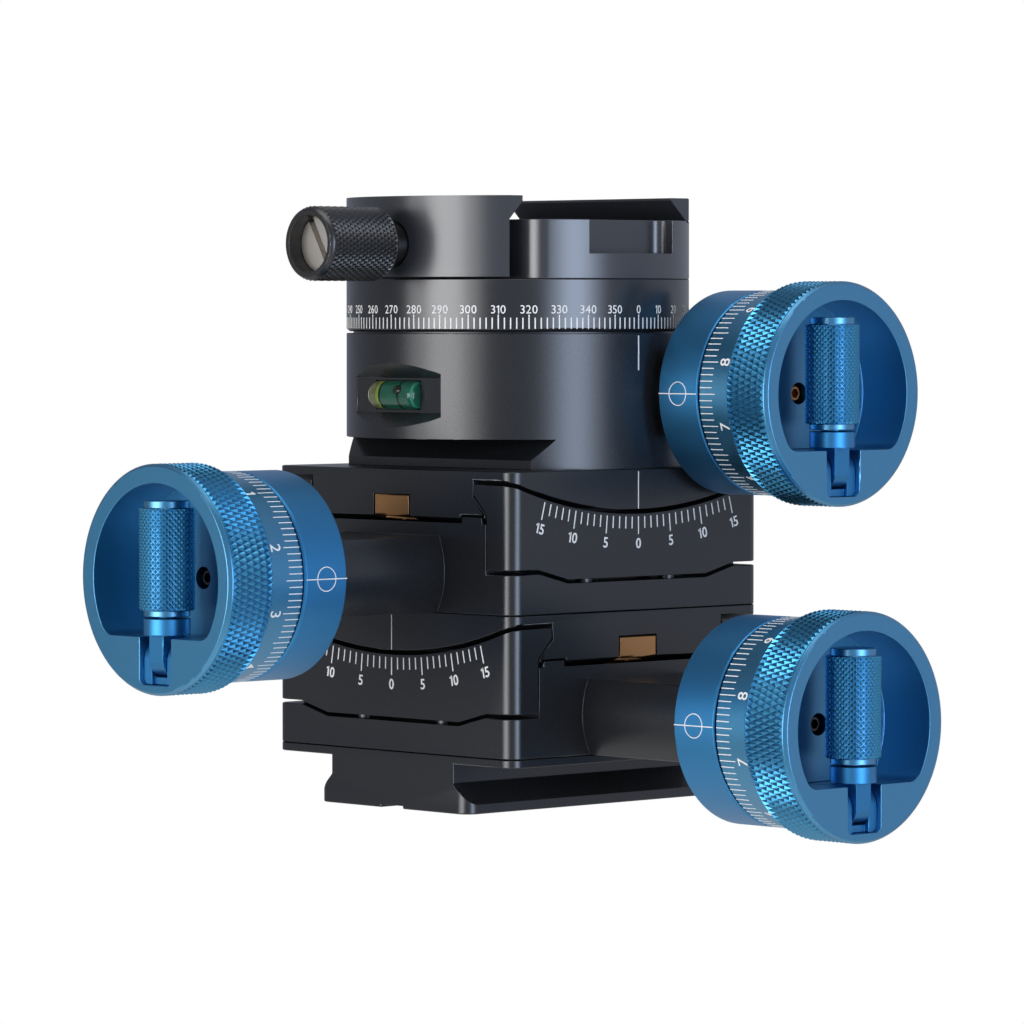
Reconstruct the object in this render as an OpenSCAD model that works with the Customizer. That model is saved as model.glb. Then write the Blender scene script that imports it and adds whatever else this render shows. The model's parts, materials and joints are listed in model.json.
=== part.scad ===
// Three-axis geared head: two crossed tilt stages, a geared panning base with a level, and a screw clamp.
// Millimetres, +Z up. The origin is the mouth of the tripod thread, in the middle of the base's underside.
// The lower stage tilts about Y and its knob is on the +X side; the upper stage tilts about X, knob on -Y.

/* [Block] */
// Side of the square block that both tilt stages share
block_w = 60; // [58:1:66]
// Radius of the block's upright corners
block_r = 2.5; // [1.5:0.5:4]

/* [Base] */
// Height of the base plate
base_h = 9.9; // [9:0.1:12]
// Thickness of the base plate's square flange
flange_t = 1.5; // [1:0.1:2.5]
// Width of the clamping dovetails across their lips
dovetail_w = 38; // [36:0.5:40]
// Height of a dovetail's upright lip
dovetail_lip = 1.6; // [1:0.1:2]
// Depth and height of a dovetail's 45-degree undercut
dovetail_cut = 3.5; // [2.5:0.1:4]
// Width of the groove along the base plate's underside
groove_w = 5.5; // [3:0.5:8]
// Depth of that groove
groove_d = 0.5; // [0.2:0.1:0.8]
// Radius of the tripod thread's wall, for a 3/8 inch screw with 16 threads an inch
tripod_r = 4; // [3.9:0.05:4.2]
// Outer radius of the tripod bush
bush_r = 7; // [6:0.5:8]
// Height of the bush below its shoulder
bush_step = 6; // [4:0.5:7]
// Width of the bush's shoulder
bush_ledge = 1.5; // [1:0.25:2]

/* [Tilt stages] */
// Height of one stage
stage_h = 24.3; // [23.5:0.1:26]
// Radius of the rack's back about the tilt axis, from which a stage's other arcs are measured
rack_back_r = 87.6; // [80:0.1:96]
// Height of the rack's back above the stage's bottom, in the middle
rack_back_h = 14.7; // [14.4:0.1:15]
// Thickness of the brass rack
rack_t = 3.5; // [3.3:0.1:3.8]
// Thickness of the cheeks that hold the cradle down
cheek_t = 6.3; // [5.5:0.1:7]
// Distance of the cheeks' graduated upper edge above the rack's back
scale_rise = 1.9; // [1.5:0.1:2.1]
// Gap between the cheeks' graduated edge and the cradle
scale_gap = 0.7; // [0.5:0.1:1.2]
// Thickness of a cheek's lip at its inner edge
lip_t = 1.7; // [1:0.1:2]
// How far a cheek's lip reaches over the cradle, at 45 degrees
lip_reach = 3.1; // [2.5:0.1:3.4]
// Gap between the cradle's underside and the bed
bed_gap = 0.8; // [0.5:0.1:1]
// Distance of the bed's rails from the cheeks' inner faces
rail_in = 1.1; // [0.8:0.1:1.5]
// Width of a rail
rail_w = 5; // [4:0.1:5.2]
// Height of a rail
rail_h = 1; // [0.6:0.1:1.2]
// Height of the bed's shoulder under the ends of a cheek
shoulder_h = 6.9; // [6.5:0.1:7.2]
// Height of the slit between the shoulder and the cheek
slit_h = 0.65; // [0.5:0.05:1]
// How far the slit drops towards the middle
slit_drop = 1.75; // [1.2:0.05:2]
// Half length of the slit's dropped stretch
slit_mid = 16.7; // [14:0.1:19]
// Half length where the slit starts to drop
slit_ramp = 23.5; // [21:0.1:25]
// Width of the brass rack
rack_w = 9; // [8.6:0.1:10]
// Distance of the bed screws from the middle, each way
bed_screw_x = 13; // [12.5:0.5:14]
// Half spacing of the cheek screws
cheek_screw_y = 10; // [8:0.5:14]
// Angle of the rack screws from the middle, about the tilt axis
rack_screw_a = 9; // [7:0.5:11]
// Depth of the rack screws' seats above the rack's back
rack_screw_seat = 4.5; // [4:0.1:5]
// Length of the rack screws below their heads
rack_screw_len = 6; // [5.5:0.1:6.2]

/* [Worm drives] */
// Height of a stage's worm above the stage's bottom
worm_h = 6.9; // [6.8:0.1:7.2]
// Outer radius of the worm thread
worm_r = 5.6; // [5.5:0.1:5.8]
// Radius of the worm's core
worm_core = 4; // [3.9:0.1:4.2]
// Turns of thread on a worm
worm_turns = 4; // [3:1:5]
// Flank angle of the thread
flank_a = 20; // [16:1:22]
// Clearance on each flank
backlash = 0.15; // [0.12:0.01:0.2]
// Clearance at the tips and roots
tip_gap = 0.35; // [0.3:0.05:0.4]
// Teeth in a full turn of the rack
stage_teeth = 180; // [170:1:190]
// Teeth on the panning wheel
pan_teeth = 36; // [34:1:38]
// Outer radius of the shaft bearings
bearing_r = 6; // [5.9:0.1:6.2]
// Bore radius of the shaft bearings
bearing_bore = 3; // [2.8:0.1:3.2]
// Width of the shaft bearings
bearing_w = 4; // [3:0.5:4]
// Wall behind a stage's far bearing
stage_far = 4; // [3:0.5:5]
// Distance of a stage's knob from the middle, to its index ring
stage_reach = 56; // [54:0.5:60]
// Radius of the worm bosses
boss_r = 13.5; // [12.5:0.5:15]
// Height of a stage's boss
boss_h = 13; // [12.8:0.1:14]
// How far a boss enters its index ring
boss_seat = 1.5; // [1:0.25:2]

/* [Knobs] */
// Radius of the index rings and dials
dial_r = 17.7; // [17:0.1:18.5]
// Length of an index ring
ring_len = 9.4; // [8.5:0.1:10.5]
// Wall of an index ring
ring_wall = 2.5; // [2:0.25:4]
// Thickness of an index ring's back
ring_back = 3; // [2.5:0.25:4]
// Gap between an index ring and its dial
dial_gap = 0.3; // [0.2:0.05:0.4]
// Length of a dial, with that gap
dial_len = 8.1; // [7.5:0.1:9]
// Radius of a knob's rim
rim_r = 19.3; // [19:0.1:20.5]
// Length of a knob's rim
rim_len = 9.6; // [9:0.1:11]
// Radius of the hollow in a knob's face
hollow_r = 16; // [15.5:0.1:16.5]
// Depth of that hollow
hollow_d = 10.5; // [10:0.1:11]
// Distance of the hollow's flat side below the knob's axis
hollow_flat = 9.6; // [9.2:0.1:10]
// Radius of the hollow's two corners
hollow_corner = 3; // [2:0.25:4]
// Depth of the shaft's socket in a knob
socket_d = 3.3; // [3:0.1:3.5]
// How far the head of a knob's screw is sunk below the hollow's floor
knob_screw_sink = 1; // [0.5:0.1:1.2]
// Length of a knob's screw inside its shaft
knob_screw_len = 9; // [7:0.5:10]

/* [Cranks] */
// Depth of the crank's axis behind the knob's face
crank_depth = 2.7; // [2.5:0.1:3]
// Distance of the hinge pin below the knob's axis
hinge_y = 13.5; // [13.2:0.1:13.8]
// Radius of the hinge pin
pin_r = 1; // [0.8:0.05:1.1]
// Width of the hinge bracket
bracket_w = 8; // [7.6:0.1:8.4]
// Height of the hinge bracket below the hollow
bracket_h = 7.9; // [7.6:0.1:8]
// Depth of the bracket's pocket
bracket_d = 7.7; // [7.4:0.1:8]
// Depth of the bracket's front behind the knob's face
bracket_inset = 1; // [0.6:0.1:1.2]
// Radius of the bracket's lower corners
bracket_r = 1.2; // [0.8:0.1:1.6]
// Width of the tongue between the bracket's ears
tongue_w = 3.6; // [3.2:0.1:4]
// Half thickness of the tongue
tongue_r = 2.4; // [2.2:0.1:2.5]
// Depth of the groove between the ears, below the tongue
ear_groove = 0.8; // [0.5:0.1:1.2]
// Radius of the crank's collar and of the grip's end rings
collar_r = 3.9; // [3.7:0.1:4]
// Length of the collar
collar_len = 2.8; // [2.4:0.1:3]
// Height of the collar's foot above the hinge pin
collar_foot = 4.3; // [4.2:0.1:4.6]
// Radius of the spindle inside the grip
spindle_r = 2; // [1.6:0.1:2.4]
// Radius of the grip
grip_r = 4.7; // [4.4:0.1:5]
// Length of the grip between its end rings
grip_len = 17; // [15:0.5:17.5]
// Length of the grip's lower end ring
grip_foot = 1; // [0.8:0.1:1.2]
// Length of the grip's upper end ring
grip_cap = 1.2; // [0.8:0.1:1.4]

/* [Panning base] */
// How far the round upper works' skin lies inside the block's sides
round_in = 0; // [0:0.1:1]
// Height of the level body
level_h = 23.2; // [22.8:0.1:24]
// Height of the panning worm above the level body's bottom
pan_worm_h = 12.9; // [12.6:0.1:13.2]
// Distance of the panning worm's axis inside the round upper works' skin
pan_worm_in = 9.2; // [9:0.1:9.4]
// Gap between the block's side and the panning knob's index ring
pan_reach = 1.6; // [1:0.1:3]
// Wall round the panning worm's far bearing, at the skin
pan_far = 0.7; // [0.6:0.1:0.8]
// Half height of the panning worm's boss
pan_boss = 7.5; // [7:0.1:8]
// Half height of the worm wheel
wheel_half = 4.7; // [4.4:0.1:4.8]
// How far the worm wheel's rim lies outside its pitch circle
wheel_rim = 1.2; // [1:0.1:1.4]
// Radius of the turning spindle
pivot_r = 6; // [5:0.5:6.5]
// Step from the wheel's hole in to the hub in the turning bush
hub_step = 3.5; // [3:0.1:4]
// Step from the wheel's hole out to the turning bush's rim
turn_bush_step = 1.5; // [1:0.1:2]
// Height of the turning bush
turn_bush_h = 4.7; // [4.2:0.1:4.8]
// Radius of the spindle nut
nut_r = 9; // [8.6:0.1:9]
// Height of the spindle nut
nut_h = 3.4; // [3:0.1:3.6]
// Thickness of the floor between the nut and the worm wheel
nut_cover = 3.4; // [3:0.1:3.8]
// Height of the graduated ring
scale_ring_h = 9.1; // [8.6:0.1:10]
// Distance of the level body's screws from the axis, each way
level_screw_x = 9.2; // [9:0.1:9.6]

/* [Level] */
// Height of the vial above the level body's bottom
vial_h = 12.6; // [12:0.1:13.2]
// Half length of the vial's pocket
vial_pocket = 10.95; // [10:0.05:12]
// Distance of the pocket's middle left of the turning axis
pocket_shift = 0.55; // [0:0.05:1]
// Depth of the pocket's floor below the level body's skin
pocket_d = 2.5; // [2.2:0.1:3]
// Half height of the pocket at the level body's skin
vial_mouth = 5.5; // [5:0.1:6]
// Radius of the vial
vial_r = 2.5; // [2.3:0.05:2.8]
// Length of the vial
vial_len = 11.5; // [10.5:0.1:13]
// Depth of the vial's axis below the level body's skin
vial_depth = 2.75; // [2.5:0.05:3]
// Distance of the vial's middle left of the pocket's middle
vial_shift = 0.55; // [0:0.05:1]
// Wall of the vial
vial_wall = 0.5; // [0.3:0.05:0.7]
// Thickness of the vial's ends
vial_end = 1.2; // [1.1:0.1:1.6]
// Radius of the ends' round edges
vial_dome = 1.6; // [1:0.1:1.7]

/* [Clamp] */
// Height of the clamp's body up to the channel's floor
clamp_h = 10.1; // [9.6:0.1:11]
// Height of the jaws above the channel's floor
jaw_h = 4.05; // [3.8:0.05:4.4]
// Distance of the fixed jaw's root from the middle
fixed_root = 20.9; // [20.5:0.1:21.3]
// Reach of the fixed jaw's 45-degree overhang
fixed_reach = 3.5; // [3:0.1:3.7]
// Distance of the moving jaw's inner face from the middle when it is open
jaw_root = 21.7; // [21.5:0.1:22]
// Reach of the moving jaw's 45-degree overhang
jaw_reach = 3.1; // [2.8:0.1:3.2]
// Half length of the jaws over the channel, where their ends are flat
jaw_half = 20.7; // [20:0.1:20.8]
// Distance of the clamp body's flat side from the middle
clamp_flat = 18.5; // [18:0.1:18.6]
// Radius of the clamp body's two upright corners beside the jaw
clamp_corner = 4.5; // [3:0.25:5]
// Depth of the relief groove along the fixed jaw's root
relief_d = 0.3; // [0.2:0.05:0.5]
// Distance of the clamp body's screws from the middle, along the channel and across it
clamp_bolt_x = 18; // [17:0.5:19]
clamp_bolt_y = 9; // [8:0.5:10]
// Distance of the fixed jaw's screws from the middle, along the channel
jaw_bolt_x = 12; // [10:0.5:13]
// Thickness of the jaw above those screws
jaw_cover = 1.5; // [1:0.1:1.8]
// Half length of the stop notches in the clamp's ends
notch_half = 10; // [8:0.5:12]
// Height of the stop notches
notch_h = 5.75; // [5:0.05:6]
// Depth of the stop notches
notch_d = 5; // [4.5:0.25:6]
// Radius of the stop notches' corners
notch_r = 2; // [1:0.25:2.5]
// Height of the clamp screw above the clamp's underside
clamp_screw_h = 5.9; // [5.6:0.1:6.2]
// Radius of the clamp screw
clamp_screw_r = 3; // [2.5:0.1:3.2]
// Radius of the jaw's guide pins
guide_r = 2.5; // [2:0.1:2.8]
// Distance of the guide pins from the clamp screw
guide_x = 11; // [10:0.5:11.5]
// Length of the guide pins and of the clamp screw inside the clamp's body
guide_hold = 13; // [11:0.5:14]
// Wall between the guide pins' ends and the jaw's round side
guide_wall = 1.5; // [1:0.1:2]
// Radius of the clamp's thumb knob
thumb_r = 6.4; // [5.8:0.1:6.8]
// Distance of the thumb knob's inner end from the jaw's round side
thumb_in = 3.4; // [3.2:0.1:4]
// Length of the thumb knob
thumb_len = 15.7; // [14:0.1:17]
// Radius of the thumb knob's neck
thumb_neck = 3.9; // [3.7:0.1:4.6]
// Radius of the hollow in the thumb knob's end
thumb_hollow = 4.9; // [4.6:0.1:5.2]
// Depth of that hollow
thumb_hollow_d = 5; // [4:0.25:7]

/* [Fits] */
// Clearance of the cradle's sliding dovetail
slide_gap = 0.2; // [0.15:0.05:0.3]
// Clearance of the cradle's grooves over the rails
rail_gap = 0.3; // [0.2:0.05:0.4]
// Radial clearance of running shafts
run_gap = 0.05; // [0.03:0.01:0.08]
// Clearance of seated pieces and screws
seat_gap = 0.05; // [0.03:0.01:0.08]
// Clearance between faces that pass each other
face_gap = 0.3; // [0.2:0.05:0.4]

/* [Hidden] */
$fn = 64;
half = block_w / 2;
round_r = half - round_in;
far = 2 * block_w;
eps = 0.5;

// Levels, from the base upwards
lower_z = base_h;
upper_z = lower_z + stage_h;
level_z = upper_z + stage_h;
ring_z = level_z + level_h + face_gap;
clamp_z = ring_z + scale_ring_h;
floor_z = clamp_z + clamp_h;
top_z = floor_z + jaw_h;

// Radii of the arcs about a tilt axis
cheek_in = half - cheek_t;
lip_x = cheek_in - lip_reach;
scale_r = rack_back_r - scale_rise;
lip_r = scale_r + lip_t;
cradle_r = rack_back_r + rack_t;
bed_r = cradle_r + bed_gap;
rail_r = bed_r - rail_h;
rail_x1 = cheek_in - rail_in;
rail_x0 = rail_x1 - rail_w;
centre_h = rack_back_r + rack_back_h;
arc_in = rack_back_r - stage_h;
arc_out = centre_h + rack_t;
arc_a = asin(half / (centre_h - stage_h)) + 2;
arc_fn = 180;
mesh_r = centre_h - worm_h;

// Thread sizes shared by worms, racks and wheel
pitch_r = (worm_r + worm_core) / 2;
stage_pitch_r = mesh_r - pitch_r;
stage_pitch = 360 / stage_teeth * stage_pitch_r * PI / 180;
pan_worm_y = round_r - pan_worm_in;
wheel_pitch_r = pan_worm_y - pitch_r;
wheel_r = wheel_pitch_r + wheel_rim;
pan_pitch = 360 / pan_teeth * wheel_pitch_r * PI / 180;
rack_tip_gap = worm_core + tip_gap;
rack_root_gap = worm_r + tip_gap;
shaft_r = bearing_bore - run_gap;
thread_steps = 16;
thread_bite = 0.4;

// Inner faces of the far bearings, and the panning knob's place
stage_far_in = half - stage_far - bearing_w;
pan_far_in = sqrt(pow(round_r - pan_far, 2) - pow(pan_worm_y + bearing_r, 2)) - bearing_w;
pan_x = half + pan_reach;

// Stations along a knob's axis, outwards from the back of its index ring
dial_z = ring_len + dial_gap;
rim_z = ring_len + dial_len;
face_z = rim_z + rim_len;
floor_s = face_z - hollow_d;
socket_z = dial_z + socket_d;
crank_z = face_z - crank_depth;
near_s = boss_seat - eps;
knob_chamfer = 0.6;

// Heights along a crank, measured from the knob's axis
collar_y = collar_foot - hinge_y;
grip_y = collar_y + collar_len + face_gap;
grip_body_y = grip_y + grip_foot;
grip_top_y = grip_body_y + grip_len;
grip_end_y = grip_top_y + grip_cap;

// Screws: shank radius, head radius, head height
big = [2, 3.5, 3.6];
small = [1.5, 2.7, 2.8];
tiny = [1.2, 2.2, 1.5];
knob_bolt = [1.2, 1.75, 1.5];
knob_seat = floor_s - knob_screw_sink - knob_bolt[2];
big_seat = 6;
screw_bite = 6.5;

// Panning base
wheel_z = level_z + pan_worm_h;
wheel_hole = wheel_r + face_gap;
hub_r = wheel_hole - hub_step;
turn_bush_r = wheel_hole + turn_bush_step;
pocket_floor = wheel_z - wheel_half - face_gap * 2;
bush_floor = ring_z - face_gap - turn_bush_h;
nut_top = pocket_floor - nut_cover;

// Clamp
axis_z = clamp_z + clamp_screw_h;
jaw_travel = jaw_root - clamp_flat - slide_gap;
guide_in = jaw_root - guide_hold;
jaw_bolt_y = (fixed_root + sqrt(pow(round_r, 2) - pow(jaw_bolt_x, 2))) / 2;
jaw_bolt_len = clamp_h - small[2] + jaw_h - jaw_cover;
thumb_x = round_r + thumb_in;
thumb_out = thumb_x + thumb_len;
thumb_seat = thumb_out - thumb_hollow_d;
jaw_spot = round_r - 0.5;

BLACK = [0.13, 0.135, 0.15];
DARK = [0.09, 0.09, 0.1];
BLUE = [0.1, 0.38, 0.6];
BRASS = [0.71, 0.57, 0.31];
STEEL = [0.66, 0.66, 0.68];
GREEN = [0.2, 0.62, 0.36];
GLASS = [0.85, 0.93, 0.9, 0.4];

// Places. A stage is drawn with its tilt axis along X and its knob on -Y, standing on z = 0.
module in_lower() { translate([0, 0, lower_z]) rotate([0, 0, 90]) children(); }
module in_upper() { translate([0, 0, upper_z]) children(); }
// A knob is drawn with its axis along +Z, outwards, and its crank towards +Y.
module at_stage_knob() { translate([0, -stage_reach, worm_h]) rotate([90, 0, 0]) children(); }
module at_lower_knob() { in_lower() at_stage_knob() children(); }
module at_upper_knob() { in_upper() at_stage_knob() children(); }
module at_pan_knob() { translate([pan_x, pan_worm_y, wheel_z]) rotate([90, 0, 90]) children(); }
module both_x() { for (s = [0, 1]) mirror([s, 0, 0]) children(); }
module corners(x, y) { for (i = [-1, 1], j = [-1, 1]) translate([i * x, j * y, 0]) children(); }

// A solid turned about the tilt axis, from points of radius and distance along the axis
module arc_solid(points) {
    translate([0, 0, centre_h])
        rotate([0, 90, 0]) rotate([0, 0, -arc_a]) rotate_extrude(angle = 2 * arc_a, $fn = arc_fn) polygon(points);
}

// A half profile and its mirror image, as one closed outline
function both_sides(p) = concat(p, [for (i = [len(p) - 1:-1:0]) [p[i][0], -p[i][1]]]);

// Plan of a square with round corners
module block_plan(w, r) {
    square([w, w - 2 * r], center = true);
    square([w - 2 * r, w], center = true);
    corners(w / 2 - r, w / 2 - r) circle(r);
}

// A socket-head screw that points down, with its head's seat at z = 0
module screw(size, length) {
    difference() {
        union() {
            cylinder(r = size[1], h = size[2]);
            translate([0, 0, -length]) cylinder(r = size[0], h = length + eps);
        }
        translate([0, 0, size[2] / 2]) cylinder(r = size[0], h = size[2], $fn = 6);
    }
}

// The hole for such a screw, open above its head
module screw_hole(size, length, clear) {
    translate([0, 0, -length - eps]) cylinder(r = size[0] + seat_gap, h = length + 2 * eps);
    cylinder(r = size[1] + seat_gap * 2, h = clear);
}

// A dovetail's side space, for clamping: to the right of the lip and under the 45-degree face
module dovetail_space(z, reach) {
    w = dovetail_w / 2;
    polygon([
        [w, z - eps], [w, z + dovetail_lip], [w - dovetail_cut, z + dovetail_lip + dovetail_cut],
        [w - dovetail_cut, reach], [far, reach], [far, z - eps]
    ]);
}

// Base plate: a square flange over a dovetail that runs along Y
module base_plate() {
    color(BLACK) difference() {
        linear_extrude(base_h) block_plan(block_w, block_r);
        both_x() translate([0, far / 2, 0]) rotate([90, 0, 0]) linear_extrude(far)
            dovetail_space(0, base_h - flange_t);
        both_x() corners(dovetail_w / 2, half) lip_corner();
        translate([-groove_w / 2, -half - eps, -eps]) cube([groove_w, block_w + 2 * eps, groove_d + eps]);
        translate([0, 0, -eps]) cylinder(r = bush_r + seat_gap, h = base_h);
        translate([0, 0, bush_step]) cylinder(r = bush_r + bush_ledge + seat_gap, h = base_h);
        translate([0, 0, base_h + big_seat]) corners(bed_screw_x, bed_screw_x)
            screw_hole(big, big_seat + screw_bite, 1);
    }
}

// What a round corner takes off a dovetail's end
module lip_corner() {
    translate([0, 0, -eps]) difference() {
        translate([-block_r, -block_r, 0]) cube([2 * block_r, 2 * block_r, base_h - flange_t + eps]);
        corners(block_r, block_r) cylinder(r = block_r, h = base_h);
    }
}

// Threaded bush for the tripod screw, held in the base plate by its shoulder
module tripod_bush() {
    color(STEEL) difference() {
        union() {
            cylinder(r = bush_r, h = base_h);
            translate([0, 0, bush_step]) cylinder(r = bush_r + bush_ledge, h = base_h - bush_step);
        }
        translate([0, 0, -eps]) cylinder(r = tripod_r, h = base_h + 2 * eps);
    }
}

// Outline of the slit under a cheek: the space above the bed's shoulder, in Y and Z
module above_slit(lift) {
    high = shoulder_h + lift;
    low = high - slit_drop;
    polygon([
        [-far, far], [-far, high], [-slit_ramp, high], [-slit_mid, low], [slit_mid, low], [slit_ramp, high],
        [far, high], [far, far]
    ]);
}

// The prism over that outline, from one X to another
module slit_prism(x0, x1, lift) {
    translate([x0, 0, 0]) rotate([90, 0, 90]) linear_extrude(x1 - x0) above_slit(lift);
}

// Cut of a worm boss across its axis: round, with a flat below and above
module boss_plan(low, high, gap) {
    intersection() {
        circle(boss_r + gap);
        translate([-far, -low - gap]) square([2 * far, low + high + 2 * gap]);
    }
}

// Bed of a stage: carries the worm, the cheeks and the rails that the cradle runs on
module bed() {
    color(BLACK) difference() {
        union() {
            linear_extrude(stage_h) block_plan(block_w, block_r);
            at_stage_knob() translate([0, 0, half - stage_reach - eps])
                linear_extrude(stage_reach - half + boss_seat + eps) boss_plan(worm_h, boss_h - worm_h, 0);
        }
        arc_solid(both_sides([
            [arc_in - stage_h, far], [bed_r, far], [bed_r, rail_x1], [rail_r, rail_x1], [rail_r, rail_x0],
            [bed_r, rail_x0]
        ]));
        both_x() slit_prism(cheek_in, far, 0);
        at_stage_knob() translate([0, 0, -stage_reach - stage_far_in - bearing_w])
            cylinder(r = bearing_r + seat_gap, h = stage_reach + stage_far_in + bearing_w + boss_seat + eps);
        translate([0, 0, big_seat]) corners(bed_screw_x, bed_screw_x) screw_hole(big, big_seat, stage_h);
        corners(half - cheek_t / 2, cheek_screw_y) cheek_screw_place() screw_hole(small, stage_h / 2, stage_h);
    }
}

// A cheek screw comes from below, with its head sunk in the bed
module cheek_screw_place() { translate([0, 0, small[2] + seat_gap]) rotate([180, 0, 0]) children(); }

// Cheek on the +X side: its lip holds the cradle down, and its upper edge carries the scale
module cheek() {
    color(BLACK) difference() {
        intersection() {
            linear_extrude(stage_h) block_plan(block_w, block_r);
            arc_solid([
                [scale_r, lip_x], [scale_r, far], [arc_out, far], [arc_out, cheek_in],
                [lip_r + lip_reach, cheek_in], [lip_r, lip_x]
            ]);
            slit_prism(0, far, slit_h);
        }
        corners(half - cheek_t / 2, cheek_screw_y) cheek_screw_place() screw_hole(small, stage_h / 2, eps);
    }
}

// The four bed screws and the four cheek screws of a stage
module bed_screws() {
    color(STEEL) translate([0, 0, big_seat]) corners(bed_screw_x, bed_screw_x)
        screw(big, big_seat + screw_bite);
}

module cheek_screws() {
    color(STEEL) corners(half - cheek_t / 2, cheek_screw_y) cheek_screw_place() screw(small, stage_h / 2 - eps);
}

// Cradle of a stage: a dovetail that slides on an arc under the cheeks' lips
module cradle() {
    skew = slide_gap * (sqrt(2) - 1);
    groove_r = rail_r - rail_gap;
    color(BLACK) difference() {
        intersection() {
            linear_extrude(stage_h) block_plan(block_w, block_r);
            arc_solid(both_sides([
                [arc_in, far], [scale_r - scale_gap, far], [scale_r - scale_gap, lip_x - slide_gap],
                [lip_r + skew, lip_x - slide_gap], [lip_r + lip_reach + skew, cheek_in - slide_gap],
                [cradle_r, cheek_in - slide_gap], [cradle_r, rail_x1 + rail_gap],
                [groove_r, rail_x1 + rail_gap], [groove_r, rail_x0 - rail_gap],
                [cradle_r, rail_x0 - rail_gap], [cradle_r, rack_w / 2], [rack_back_r, rack_w / 2]
            ]));
        }
        rack_screw_places() screw_hole(tiny, rack_back_r, stage_h);
        translate([0, 0, stage_h]) corners(bed_screw_x, bed_screw_x) screw_hole(big, screw_bite, eps);
    }
}

// The rack screws point outwards from the tilt axis, with their heads sunk in the cradle
module rack_screw_places() {
    for (a = [-rack_screw_a, rack_screw_a])
        translate([0, 0, centre_h]) rotate([a, 0, 0]) translate([0, 0, rack_screw_seat - rack_back_r]) children();
}

module rack_screws() { color(STEEL) rack_screw_places() screw(tiny, rack_screw_len); }

// A tooth space, radial along X and inclined by the lead, for the thread of a worm
module tooth_space(pitch, r, bottom, top, lead) {
    wide = pitch / 4 + backlash / 2;
    slope = tan(flank_a);
    rotate([-lead, 0, 0]) linear_extrude(far, center = true) polygon([
        [bottom, -wide + (r - bottom) * slope], [top, -wide - (top - r) * slope],
        [top, wide + (top - r) * slope], [bottom, wide - (r - bottom) * slope]
    ]);
}

function lead(pitch) = atan(pitch / (2 * PI * pitch_r));

// Brass rack: an arc of worm wheel that runs the whole length of the cradle
module rack() {
    step = 360 / stage_teeth;
    teeth = floor(asin(half / rack_back_r) / step) - 1;
    color(BRASS) difference() {
        intersection() {
            linear_extrude(stage_h) square(block_w, center = true);
            translate([0, 0, centre_h]) rotate([0, 90, 0]) rotate([0, 0, -arc_a])
                rotate_extrude(angle = 2 * arc_a, $fn = arc_fn) difference() {
                    translate([rack_back_r + seat_gap, -rack_w / 2 + seat_gap])
                        square([cradle_r - rack_back_r - seat_gap, rack_w - 2 * seat_gap]);
                    translate([mesh_r, 0]) circle(rack_tip_gap);
                }
        }
        translate([0, 0, centre_h]) rotate([0, 90, 0]) for (i = [-teeth:teeth]) rotate([0, 0, i * step])
            tooth_space(stage_pitch, stage_pitch_r, mesh_r - rack_root_gap, arc_out, lead(stage_pitch));
        rack_screw_places() screw_hole(tiny, rack_screw_len, eps);
    }
}

// A shielded ball bearing, drawn as one ring with its bore along Z
module bearing() {
    rim = 0.8;
    sink = 0.4;
    rotate_extrude() polygon([
        [bearing_bore, 0], [bearing_bore + rim, 0], [bearing_bore + rim, sink], [bearing_r - rim, sink],
        [bearing_r - rim, 0], [bearing_r, 0], [bearing_r, bearing_w], [bearing_r - rim, bearing_w],
        [bearing_r - rim, bearing_w - sink], [bearing_bore + rim, bearing_w - sink],
        [bearing_bore + rim, bearing_w], [bearing_bore, bearing_w]
    ]);
}

module bearing_pair(reach, far_in) {
    color(STEEL) {
        translate([0, 0, near_s - bearing_w]) bearing();
        translate([0, 0, -reach - far_in - bearing_w]) bearing();
    }
}

// Index ring: a fixed cup between the boss and the turning dial, keyed by the boss's flats
module index_ring(low, high) {
    edge = 0.3;
    color(BLUE) difference() {
        rotate_extrude() polygon([
            [0, 0], [dial_r - edge, 0], [dial_r, edge], [dial_r, ring_len - edge], [dial_r - edge, ring_len],
            [dial_r - ring_wall, ring_len], [dial_r - ring_wall, ring_back], [0, ring_back]
        ]);
        translate([0, 0, -eps]) linear_extrude(boss_seat + eps) boss_plan(low, high, seat_gap);
        translate([0, 0, -eps]) cylinder(r = bearing_r - 1, h = ring_len);
    }
}

// Plan of the hollow in a knob's face: round, with a flat lower side and two round corners
module hollow_plan() {
    r = hollow_r - hollow_corner;
    y = hollow_flat - hollow_corner;
    x = sqrt(r * r - y * y);
    intersection() {
        circle(hollow_r);
        polygon([[0, 0], [x, -y] * 4, [far, far], [-far, far], [-x, -y] * 4]);
    }
    polygon([[0, 0], [x, -y], [x, -hollow_flat], [-x, -hollow_flat], [-x, -y]]);
    for (s = [-1, 1]) translate([s * x, -y]) circle(hollow_corner);
}

// Plan of the hinge bracket and, with a gap, of its pocket below the hollow
module bracket_plan(gap) {
    w = bracket_w / 2 + gap;
    low = hollow_flat + bracket_h + gap;
    translate([-w, -low + bracket_r]) square([2 * w, bracket_h - bracket_r + gap]);
    translate([-w + bracket_r, -low]) square([2 * (w - bracket_r), bracket_h]);
    for (s = [-1, 1]) translate([s * (w - bracket_r), -low + bracket_r]) circle(bracket_r);
}

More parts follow.
